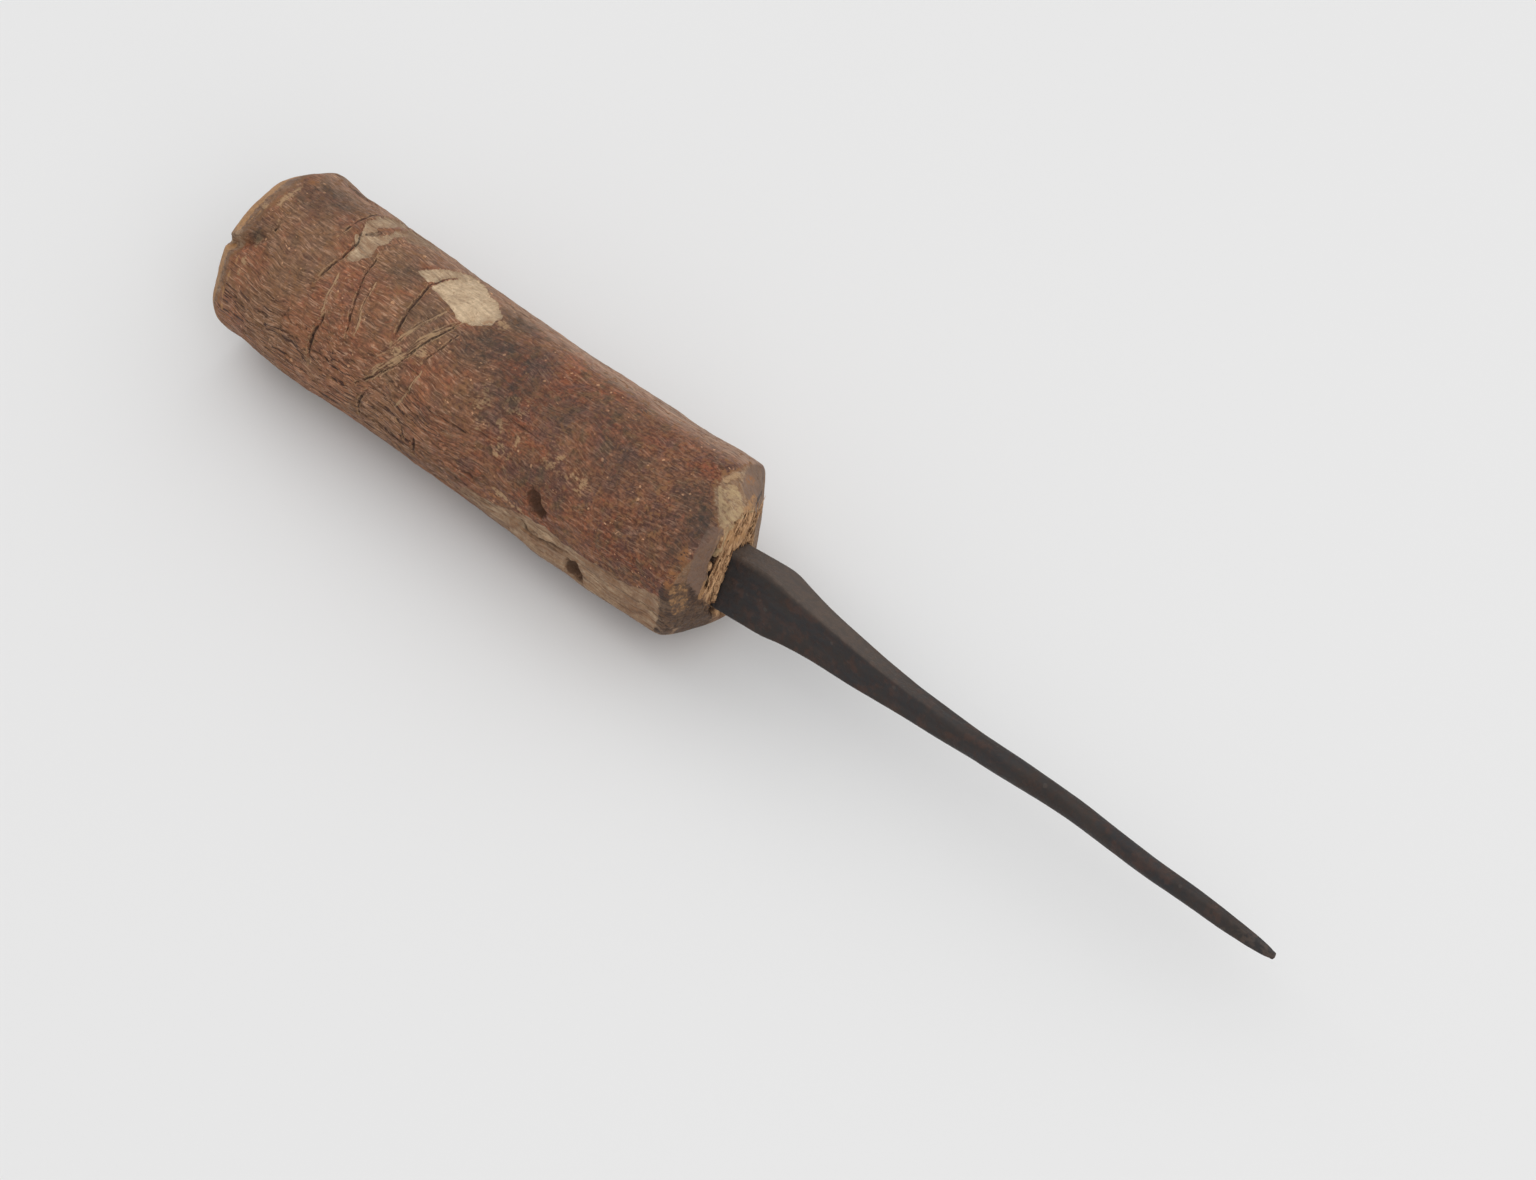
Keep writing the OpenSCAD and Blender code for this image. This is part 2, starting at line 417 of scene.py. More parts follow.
class Graph:
    """Short calls that add nodes to a shader or geometry tree."""

    def __init__(self, tree: bpy.types.NodeTree) -> None:
        """Keeps the tree that the nodes go into."""
        self.tree = tree

    def add(self, kind: str, feeds: dict | None = None, **settings: object) -> bpy.types.Node:
        """Adds one node.

        Args:
            kind: Blender's name for the node's type.
            feeds: What goes into each input, by its name or number.
            **settings: Other settings of the node.

        Returns:
            The new node.
        """
        node = self.tree.nodes.new(kind)
        for name, value in settings.items():
            setattr(node, name, value)
        for key, value in (feeds or {}).items():
            self.feed(node.inputs[key], value)
        return node

    def feed(self, socket: bpy.types.NodeSocket, value: object) -> None:
        """Links a wire to an input, or sets the input to a plain value.

        Args:
            socket: The input.
            value: The wire or the plain value.
        """
        if isinstance(value, Wire):
            self.tree.links.new(value.socket, socket)
        else:
            socket.default_value = value

    def out(self, node: bpy.types.Node, key: int | str = 0) -> Wire:
        """One output of a node as a wire."""
        return Wire(self, node.outputs[key])

    def node(self, kind: str, feeds: dict | None = None, **settings: object) -> Wire:
        """Adds one node and gives its first output."""
        return self.out(self.add(kind, feeds, **settings))

    def math(self, operation: str, a: object, b: object = 0.0) -> Wire:
        """The result of one operation on two numbers."""
        return self.node("ShaderNodeMath", {0: a, 1: b}, operation=operation)

    def vector(self, operation: str, a: object, b: object) -> Wire:
        """The result of one operation on two vectors."""
        return self.node("ShaderNodeVectorMath", {0: a, 1: b}, operation=operation)

    def joined(self, x: object, y: object, z: object) -> Wire:
        """A vector made of three numbers."""
        return self.node("ShaderNodeCombineXYZ", {0: x, 1: y, 2: z})

    def step(self, value: object, low: object, high: object, least: float = 0.0, most: float = 1.0) -> Wire:
        """A value stepped smoothly from `least` at `low` to `most` at `high`."""
        feeds = {0: value, 1: low, 2: high, 3: least, 4: most}
        return self.node("ShaderNodeMapRange", feeds, interpolation_type="SMOOTHSTEP")

    def blend(self, share: object, a: object, b: object) -> Wire:
        """Colour a share of the way from `a` to `b`."""
        return self.out(self.add("ShaderNodeMix", {0: share, 6: a, 7: b}, data_type="RGBA"), 2)

    def coats(self, colour: object, *coats: tuple[object, object]) -> Wire:
        """Lays coats over a colour.

        Args:
            colour: The colour underneath.
            *coats: How much each coat covers, and its colour, from the lowest coat up.

        Returns:
            The colour with every coat on it.
        """
        for share, tint in coats:
            colour = self.blend(share, colour, tint)
        return colour

    def noise(self, place: object, scale: object, detail: float = 2.0, rough: float = 0.5) -> Wire:
        """Noise from 0 to 1 at a place, with `scale` lumps to each unit."""
        feeds = {"Vector": place, "Scale": scale, "Detail": detail, "Roughness": rough}
        return self.node("ShaderNodeTexNoise", feeds)

    def attribute(self, name: str) -> Wire:
        """A number carried by the mesh's vertices, in a material."""
        return self.out(self.add("ShaderNodeAttribute", attribute_name=name), "Fac")


@dataclass(frozen=True)
class Streaks:
    """Streaks drawn out along the tool: length and width in mm, and the noise they start and end at."""

    length: float
    width: float
    low: float
    high: float


@dataclass(frozen=True)
class Mottle:
    """Soft blotches with finer ones in them: size in mm, and the noise they start and end at."""

    size: float
    low: float
    high: float


@dataclass(frozen=True)
class Specks:
    """Small separate specks: how far apart in mm, and the share of them that is there."""

    size: float
    share: float


Texture = Streaks | Mottle | Specks


class Effects:
    """Shader effects that the bark, the torn wood and the iron share, one for each kind of texture."""

    SPECK_LEAST = 0.12
    SPECK_RANGE = 0.25

    def __init__(self) -> None:
        """Builds each effect once."""
        self.trees = {Streaks: self._streaks(), Mottle: self._mottle(), Specks: self._specks()}

    def lay(self, graph: Graph, texture: Texture, place: Wire) -> Wire:
        """Places an effect in a material.

        Args:
            graph: The material's graph.
            texture: The texture's values.
            place: Where it is read, in millimetres.

        Returns:
            The texture's mask, from 0 to 1.
        """
        feeds = {name.capitalize(): value for name, value in asdict(texture).items()}
        tree = self.trees[type(texture)]
        return graph.node("ShaderNodeGroup", {"Place": place, **feeds}, node_tree=tree)

    def _start(self, kind: type) -> tuple[Graph, dict[str, Wire]]:
        """Starts an effect with an input for the place and for each value of its texture.

        Args:
            kind: The texture's class.

        Returns:
            The graph, and a wire for each input by its name.
        """
        tree = bpy.data.node_groups.new(kind.__name__, "ShaderNodeTree")
        inputs = {"Place": "Vector", **{part.name.capitalize(): "Float" for part in fields(kind)}}
        for label, socket in inputs.items():
            tree.interface.new_socket(label, in_out="INPUT", socket_type=f"NodeSocket{socket}")
        tree.interface.new_socket("Mask", in_out="OUTPUT", socket_type="NodeSocketFloat")
        graph = Graph(tree)
        entry = graph.add("NodeGroupInput")
        return graph, {label: graph.out(entry, label) for label in inputs}

    def _finish(self, graph: Graph, mask: Wire) -> bpy.types.NodeTree:
        """Sends the mask out of the effect."""
        graph.add("NodeGroupOutput", {0: mask})
        return graph.tree

    def _ranged(self, graph: Graph, value: Wire, wire: dict[str, Wire]) -> bpy.types.NodeTree:
        """Sends out the value, stepped between the effect's Low and High inputs."""
        return self._finish(graph, graph.step(value, wire["Low"], wire["High"]))

    def _streaks(self) -> bpy.types.NodeTree:
        """Noise squeezed across the tool, as wood grain or a file leaves it.

        Returns:
            The effect.
        """
        graph, wire = self._start(Streaks)
        thin = graph.math("DIVIDE", 1.0, wire["Width"])
        size = graph.joined(graph.math("DIVIDE", 1.0, wire["Length"]), thin, thin)
        value = graph.noise(graph.vector("MULTIPLY", wire["Place"], size), 1.0, 3.0, 0.6)
        return self._ranged(graph, value, wire)

    def _mottle(self) -> bpy.types.NodeTree:
        """Even noise in all directions.

        Returns:
            The effect.
        """
        graph, wire = self._start(Mottle)
        value = graph.noise(wire["Place"], graph.math("DIVIDE", 1.0, wire["Size"]), 4.0, 0.6)
        return self._ranged(graph, value, wire)

    def _specks(self) -> bpy.types.NodeTree:
        """The cores of a share of cells, each with its own size.

        Returns:
            The effect.
        """
        graph, wire = self._start(Specks)
        feeds = {"Vector": wire["Place"], "Scale": graph.math("DIVIDE", 1.0, wire["Size"])}
        cells = graph.add("ShaderNodeTexVoronoi", feeds)
        pick = graph.add("ShaderNodeSeparateColor", {0: graph.out(cells, "Color")})
        chosen = graph.math("LESS_THAN", graph.out(pick), wire["Share"])
        size = graph.out(pick, 1) * self.SPECK_RANGE + self.SPECK_LEAST
        core = graph.math("LESS_THAN", graph.out(cells, "Distance"), size)
        return self._finish(graph, chosen * core)


class Coating:
    """A material being built: its nodes, and the place on the piece in millimetres."""

    GLOSS = 0.3

    def __init__(self, name: str, effects: Effects) -> None:
        """Starts the material with the effects that it may use.

        Args:
            name: The material's name.
            effects: The shared effects.
        """
        self.material = bpy.data.materials.new(name)
        self.material.use_nodes = True
        self.effects = effects
        self.graph = Graph(self.material.node_tree)
        place = self.graph.out(self.graph.add("ShaderNodeTexCoord"), "Object")
        self.mm = self.graph.vector("MULTIPLY", place, (1.0 / MM,) * 3)

    def lay(self, texture: Texture, place: Wire | None = None) -> Wire:
        """Mask of a texture at a place, or else at the plain place on the piece."""
        return self.effects.lay(self.graph, texture, place or self.mm)

    def paint(self, name: Paint) -> Wire:
        """A value that the handle's vertices carry."""
        return self.graph.attribute(name.value)

    def finish(
        self, colour: Wire, roughness: Wire, relief: Wire, strength: float, depth: float
    ) -> bpy.types.Material:
        """Connects the shader.

        Args:
            colour: The colour.
            roughness: The roughness.
            relief: Height of the finest relief.
            strength: Strength of the finest relief.
            depth: Depth of the finest relief in millimetres.

        Returns:
            The finished material.
        """
        feeds = {"Height": relief, "Strength": strength, "Distance": depth * MM}
        values = {
            "Base Color": colour,
            "Roughness": roughness,
            "Specular IOR Level": self.GLOSS,
            "Normal": self.graph.node("ShaderNodeBump", feeds),
        }
        shader = self.material.node_tree.nodes["Principled BSDF"]
        for name, value in values.items():
            self.graph.feed(shader.inputs[name], value)
        return self.material


class BarkCoating(Coating):
    """The bark's material, with the textures that several parts of it share."""

    def __init__(self, finish: "BarkFinish", effects: Effects) -> None:
        """Lays the shared textures, along fibres that wander.

        Args:
            finish: The bark's values.
            effects: The shared effects.
        """
        super().__init__(Slot.BARK_WOOD.value, effects)
        self.wavy = self._wandering(finish.wanders)
        self.hair = self.lay(finish.hairs, self.wavy)
        self.fine = self.lay(finish.fibres, self.wavy)
        self.grit = self.lay(finish.grains)
        self.rough = self.lay(finish.lumps)
        self.fray = (self.rough - 0.5) * 0.5 + (self.grit - 0.5) * 0.4

    def _wandering(self, wanders: tuple[Span, ...]) -> Wire:
        """The place in millimetres, moved as fibres are round knots and bumps.

        Args:
            wanders: Scale and reach of each noise that moves it.

        Returns:
            The moved place.
        """
        graph = self.graph
        moves = []
        for scale, reach in wanders:
            feeds = {"Vector": self.mm, "Scale": scale, "Detail": 0.0}
            noise = graph.out(graph.add("ShaderNodeTexNoise", feeds), "Color")
            centred = graph.vector("SUBTRACT", noise, (0.5,) * 3)
            moves.append(graph.vector("MULTIPLY", centred, (reach,) * 3))
        return graph.vector("ADD", self.mm, graph.vector("ADD", *moves))


@dataclass(frozen=True)
class BarkFinish:
    """Worn red-brown bark and the wood under it, with soot, stains and wear on both, and painted sheen,
    highlights and shade.
    """

    lean: float
    red: Colour = srgb(166, 103, 71)
    brown: Colour = srgb(150, 112, 82)
    deep: Colour = srgb(152, 82, 50)
    plum: Colour = srgb(114, 83, 75)
    olive: Colour = srgb(112, 92, 60)
    shade: Colour = srgb(56, 32, 23)
    light: Colour = srgb(196, 156, 126)
    bast: Colour = srgb(188, 136, 98)
    # colour of the painted sheen on the far upper edge
    painted_sheen: Colour = srgb(186, 155, 133)
    vein: Colour = srgb(176, 144, 108)
    rust: Colour = srgb(170, 92, 62)
    fleck: Colour = srgb(222, 170, 128)
    soot: Colour = srgb(50, 47, 42)
    orange: Colour = srgb(160, 108, 66)
    inner: Colour = srgb(134, 94, 62)
    weathered: Colour = srgb(132, 104, 82)
    cream: Colour = srgb(220, 194, 160)
    # grey, tan, bone and dark colour the cut ends; tan and bone also give the painted highlights on their
    # ridges, and dark the painted shade under the front end
    grey: Colour = srgb(120, 97, 84)
    tan: Colour = srgb(178, 134, 90)
    bone: Colour = srgb(182, 156, 118)
    dark: Colour = srgb(60, 43, 34)
    # painted shade on the sides of the pits and in the hollows of the torn end grain
    recess_shade: Colour = srgb(76, 50, 33)
    # dark fill of knife cuts and cracks, partly grime and partly painted shade, and painted shade in pit
    # cores and torn hollows
    dirt_and_shade: Colour = srgb(38, 25, 19)
    strand: Colour = srgb(206, 164, 122)
    hairs: Streaks = Streaks(2.0, 0.26, 0.38, 0.6)
    fibres: Streaks = Streaks(5.0, 0.5, 0.4, 0.6)
    grains: Mottle = Mottle(0.6, 0.38, 0.62)
    lumps: Mottle = Mottle(1.3, 0.36, 0.64)
    brown_blotches: Mottle = Mottle(8.0, 0.38, 0.6)
    plum_blotches: Mottle = Mottle(3.4, 0.46, 0.64)
    olive_blotches: Mottle = Mottle(2.3, 0.5, 0.66)
    furrows: Streaks = Streaks(20.0, 0.42, 0.55, 0.59)
    light_streaks: Streaks = Streaks(2.6, 0.3, 0.52, 0.68)
    # ridges: long streaks lit up on the far upper edge as painted highlights
    ridges: Streaks = Streaks(16.0, 0.6, 0.55, 0.61)
    rust_spots: Mottle = Mottle(1.2, 0.62, 0.72)
    fleck_groups: Mottle = Mottle(6.0, 0.46, 0.56)
    flecks: Streaks = Streaks(0.9, 0.42, 0.66, 0.71)
    specks: Specks = Specks(0.8, 0.045)
    wood_blotches: Mottle = Mottle(3.0, 0.35, 0.65)
    wood_lines: Streaks = Streaks(9.0, 0.6, 0.54, 0.64)
    wood_pores: Mottle = Mottle(0.55, 0.56, 0.64)
    soot_blotches: Mottle = Mottle(2.6, 0.44, 0.58)
    soot_speckle: Mottle = Mottle(0.8, 0.4, 0.6)
    scrape_strands: Streaks = Streaks(5.0, 0.4, 0.46, 0.6)
    torn_strands: Streaks = Streaks(1.6, 0.32, 0.36, 0.6)
    wanders: tuple[Span, ...] = ((0.085, 3.0), (0.4, 0.7))
    front_zone: Span = (-10.0, 10.0)
    end_zone: Span = (24.0, 36.0)
    # range of y over which the painted sheen on the far upper edge comes in
    sheen_zone: Span = (5.5, 11.0)
    relief_strength: float = 0.9
    relief_depth: float = 0.18

    def material(self, effects: Effects) -> bpy.types.Material:
        """Builds the material.

        Args:
            effects: The shared effects.

        Returns:
            The material.
        """
        coat = BarkCoating(self, effects)
        graph = coat.graph
        under = coat.paint(Paint.UNDER) + coat.fray * 0.3
        bare = graph.step(coat.paint(Paint.BARE) + coat.fray * 0.3, -0.05, 0.08)
        rim = graph.step(under, 0.04, 0.16) * graph.step(coat.rough, 0.2, 0.7, 0.3, 1.0)
        through = graph.math("MAXIMUM", bare, graph.step(under, 0.2, 0.34))
        colour = graph.coats(
            self._bark(coat),
            (rim, self.inner),
            (through, self._wood(coat)),
            (coat.paint(Paint.TORN), self._torn(coat)),
        )
        colour = self._stained(coat, colour)
        ragged = (coat.hair - 0.5) * 0.8
        worn = coat.paint(Paint.WORN) * graph.step(coat.rough + ragged, 0.35, 0.8)
        pale = coat.paint(Paint.PALE) + coat.fray * 0.9 + (coat.hair - 0.5) * 0.3
        pale = graph.step(pale, 0.4, 0.9) * 0.8
        colour = graph.coats(colour, (worn, self.orange), (pale, self.vein))
        colour = self._cut(coat, self._sooted(coat, self._scraped(coat, colour)))
        grained = (coat.hair * 0.5 + coat.fine * 0.7) * (coat.paint(Paint.GRAIN_AND_SHEEN) * 0.7 + 0.3)
        relief = grained + coat.rough * 0.5 + coat.grit * 0.35
        roughness = graph.step(coat.rough, 0.0, 1.0, 0.58, 0.76)
        return coat.finish(colour, roughness, relief, self.relief_strength, self.relief_depth)

    def _bark(self, coat: BarkCoating) -> Wire:
        """Bark: soft blotches of red, brown, plum and olive under fine streaks, with flecks, and a painted
        sheen on the far upper edge.

        Args:
            coat: The material being built.

        Returns:
            The colour.
        """
        graph = coat.graph
        place = coat.wavy
        # grain: the bark's grain, and on the far upper edge the mask of the painted sheen on its streaks
        grain = coat.paint(Paint.GRAIN_AND_SHEEN)
        parted = graph.add("ShaderNodeSeparateXYZ", {0: place})
        front = graph.step(graph.out(parted, "X"), *self.front_zone)
        end = graph.step(graph.out(parted, "X"), *self.end_zone)
        # far: mask of the painted sheen on the far upper edge, stronger towards the front
        far = graph.step(graph.out(parted, "Y"), *self.sheen_zone) * (front * 0.4 + 0.6)
        blotch = coat.lay(self.brown_blotches, place)
        patchy = (1.0 - coat.grit) * (0.36 - grain * 0.2 + front * 0.2)
        light = coat.lay(self.light_streaks, place) * (grain * 0.2 + 0.5) * (1.0 - front * 0.4)
        flecked = coat.lay(self.flecks, place) * (coat.lay(self.fleck_groups, place) * 0.8 + 0.04)
        return graph.coats(
            graph.blend(blotch, self.red, self.brown),
            (front * (1.0 - blotch * 0.4) * (0.8 - grain * 0.5), self.deep),
            (grain * 0.42, self.bast),
            (coat.lay(self.plum_blotches, place) * (front * 0.35 + 0.3), self.plum),
            (coat.lay(self.olive_blotches, place) * (front * 0.3 + 0.35), self.olive),
            ((1.0 - coat.hair) * (0.52 - grain * 0.22 - front * 0.12), self.shade),
            ((1.0 - coat.fine) * (grain * 0.16 + 0.2), self.shade),
            (patchy + end * 0.16, self.shade),
            (coat.lay(self.furrows, place) * (grain * 0.85 + 0.08), self.shade),
            (light, self.light),
            # lighter long streaks on the far upper edge, where the grain strength comes from the far turns:
            # painted highlight
            (coat.lay(self.ridges, place) * grain * front * 0.5, self.light),
            # painted sheen on the far upper edge
            (far * (coat.fine * 0.32 + coat.hair * 0.32 + 0.16), self.painted_sheen),
            (coat.lay(self.rust_spots, place) * 0.3, self.rust),
            (flecked, self.fleck),
            (coat.lay(self.specks, place) * 0.55, self.fleck),
        )

    def _wood(self, coat: BarkCoating) -> Wire:
        """Bare wood: weathered grey-brown to cream by its tone, with faint grain and pores.

        Args:
            coat: The material being built.

        Returns:
            The colour.
        """
        tone = coat.paint(Paint.TONE)
        plain = coat.graph.step(tone, 0.5, 0.9, 1.0, 0.35)
        blotch = coat.lay(self.wood_blotches, coat.wavy)
        return coat.graph.coats(
            coat.graph.blend(tone + (blotch - 0.5) * 0.35, self.weathered, self.cream),
            ((1.0 - coat.hair) * 0.4 * plain, self.inner),
            ((1.0 - coat.fine) * 0.5 * plain, self.inner),
            (coat.lay(self.wood_lines, coat.wavy) * 0.45 * plain, self.shade),
            (coat.lay(self.wood_pores, coat.wavy) * 0.4, self.inner),
            ((1.0 - coat.grit) * 0.22, self.shade),
        )

    def _torn(self, coat: BarkCoating) -> Wire:
        """Torn end grain: pale strands that run along the blade's flat, over hollows with painted shade in
        them.

        Args:
            coat: The material being built.

        Returns:
            The colour.
        """
        graph = coat.graph
        feeds = {"Vector": coat.mm, "Angle": math.radians(self.lean)}
        turned = graph.node("ShaderNodeVectorRotate", feeds, rotation_type="X_AXIS")
        parts = graph.add("ShaderNodeSeparateXYZ", {0: turned})
        place = graph.joined(*(graph.out(parts, axis) for axis in "ZYX"))
        strands = graph.blend(coat.lay(self.torn_strands, place), self.inner, self.strand)
        # painted shade in the hollows between the strands
        return graph.blend(graph.step(coat.paint(Paint.CRACK_SHADE), 0.1, 0.8) * 0.7, strands, self.recess_shade)

    def _stained(self, coat: BarkCoating, colour: Wire) -> Wire:
        """Lays the uneven stains of the cut ends over a colour, with the painted highlights along their
        ridges and the painted shade low on the front end.

        Args:
            coat: The material being built.
            colour: The colour underneath.

        Returns:
            The stained colour.
        """
        uneven = coat.fine * 0.3 + coat.hair * 0.2 + coat.grit * 0.24 + 0.42
        for tint, stain, most in (
            (Paint.GREY, self.grey, 0.85),
            (Paint.DARK, self.dark, 0.95),
            (Paint.TAN, self.tan, 0.9),
            (Paint.CREAM, self.bone, 0.9),
        ):
            share = coat.graph.step(coat.paint(tint) + coat.fray * 0.6, 0.3, 0.8) * most
            colour = coat.graph.blend(share * uneven, colour, stain)
        return colour

    def _scraped(self, coat: BarkCoating, colour: Wire) -> Wire:
        """Scrapes across the bark: thin pale strands with dark ones between, along the stroke.

        Args:
            coat: The material being built.
            colour: The colour underneath.

        Returns:
            The scraped colour.
        """
        graph = coat.graph
        strokes = graph.joined(coat.paint(Paint.ALONG), coat.paint(Paint.ACROSS), 0.0)
        strands = coat.lay(self.scrape_strands, strokes)
        reached = graph.step(coat.paint(Paint.SCRAPE) + (strands - 0.5) * 0.7, 0.3, 0.7)
        dark = reached * (1.0 - strands) * 0.45
        return graph.coats(colour, (dark, self.shade), (reached * strands * 0.8, self.vein))

    def _sooted(self, coat: BarkCoating, colour: Wire) -> Wire:
        """Black-green smudges, blotched and speckled.

        Args:
            coat: The material being built.
            colour: The colour underneath.

        Returns:
            The smudged colour.
        """
        blotched = coat.lay(self.soot_blotches) * 0.36 + 0.6
        speckled = coat.lay(self.soot_speckle) * 0.36 + 0.64
        return coat.graph.blend(coat.paint(Paint.SMUDGE) * blotched * speckled, colour, self.soot)

    def _cut(self, coat: BarkCoating, colour: Wire) -> Wire:
        """Knife cuts with a dark bottom and frayed pale edges, dark pits and dark cracks; the dark in the
        cuts and cracks is partly grime and partly painted shade, and in the pits it is painted shade.

        Args:
            coat: The material being built.
            colour: The colour underneath.

        Returns:
            The colour with the cuts in it.
        """
        graph = coat.graph
        fray = coat.fray
        cut = coat.paint(Paint.CUT)
        edge = graph.step(cut, 0.06, 0.2) * graph.step(cut, 0.55, 0.35) * graph.step(fray, -0.05, 0.15)
        pit_shade = coat.paint(Paint.PIT_SHADE) + fray * 0.7
        cracks_and_hollows = coat.paint(Paint.CRACK_SHADE) + fray * 0.35
        return graph.coats(
            colour,
            (edge * 0.5, self.vein),
            (graph.step(cut + fray * 0.5, 0.48, 0.9) * 0.82, self.dirt_and_shade),
            # painted shade on the sides of the pits
            (graph.step(pit_shade, 0.1, 0.9) * 0.88, self.recess_shade),
            (graph.step(cracks_and_hollows, 0.25, 0.95) * 0.9, self.dirt_and_shade),
        )


@dataclass(frozen=True)
class IronFinish:
    """Dark forge scale with faint rust, rubbed lighter on its corners, and a painted sheen on the top face
    near the wood.
    """

    scale: Colour = srgb(43, 37, 34)
    blue: Colour = srgb(38, 36, 37)
    rust: Colour = srgb(80, 52, 40)
    # pale: colour of the paler tip, and of the painted sheen on the top face
    pale: Colour = srgb(92, 79, 70)
    rubbed: Colour = srgb(92, 84, 78)
    blue_blotches: Mottle = Mottle(6.0, 0.4, 0.6)
    rust_blotches: Mottle = Mottle(2.4, 0.5, 0.66)
    grains: Mottle = Mottle(0.9, 0.4, 0.66)
    drawn_lines: Streaks = Streaks(7.0, 1.8, 0.42, 0.64)
    specks: Specks = Specks(1.2, 0.08)
    tip_zone: Span = (142.0, 148.0)
    relief_strength: float = 0.6
    relief_depth: float = 0.12

    def material(self, effects: Effects) -> bpy.types.Material:
        """Builds the material.

        Args:
            effects: The shared effects.

        Returns:
            The material.
        """
        coat = Coating(Slot.FORGED_IRON.value, effects)
        graph = coat.graph
        patchy = coat.lay(self.rust_blotches)
        small = coat.lay(self.grains)
        drawn = coat.lay(self.drawn_lines)
        x = graph.node("ShaderNodeSeparateXYZ", {0: coat.mm})
        edge = graph.attribute("corner_wear") * graph.step(small, 0.0, 1.0, 0.3, 0.9)
        colour = graph.coats(
            graph.blend(coat.lay(self.blue_blotches), self.scale, self.blue),
            (patchy * 0.35, self.rust),
            (small * 0.16, self.rust),
            (drawn * 0.06, self.rubbed),
            # painted highlight: the top face near the wood is made paler, as the overhead light would show
            # it
            (graph.attribute("top_sheen") * (small * 0.35 + 0.65) * 0.8, self.pale),
            (coat.lay(self.specks) * 0.2, self.rubbed),
            (graph.step(x, *self.tip_zone) * small * 0.5, self.pale),
            (edge * 0.35, self.rubbed),
        )
        roughness = graph.step(small, 0.0, 1.0, 0.5, 0.66)
        relief = small * 0.5 + drawn * 0.25 + patchy * 0.6
        return coat.finish(colour, roughness, relief, self.relief_strength, self.relief_depth)


@dataclass(frozen=True)
class FloorFinish:
    """Plain pale paper that the tool is laid on."""

    paper: Colour = srgb(226, 226, 226)
    roughness: float = 0.95

    def material(self) -> bpy.types.Material:
        """Builds the material.

        Returns:
            The material.
        """
        material = bpy.data.materials.new("paper")
        material.use_nodes = True
        shader = material.node_tree.nodes["Principled BSDF"]
        shader.inputs["Base Color"].default_value = self.paper
        shader.inputs["Roughness"].default_value = self.roughness
        shader.inputs["Specular IOR Level"].default_value = 0.0
        return material


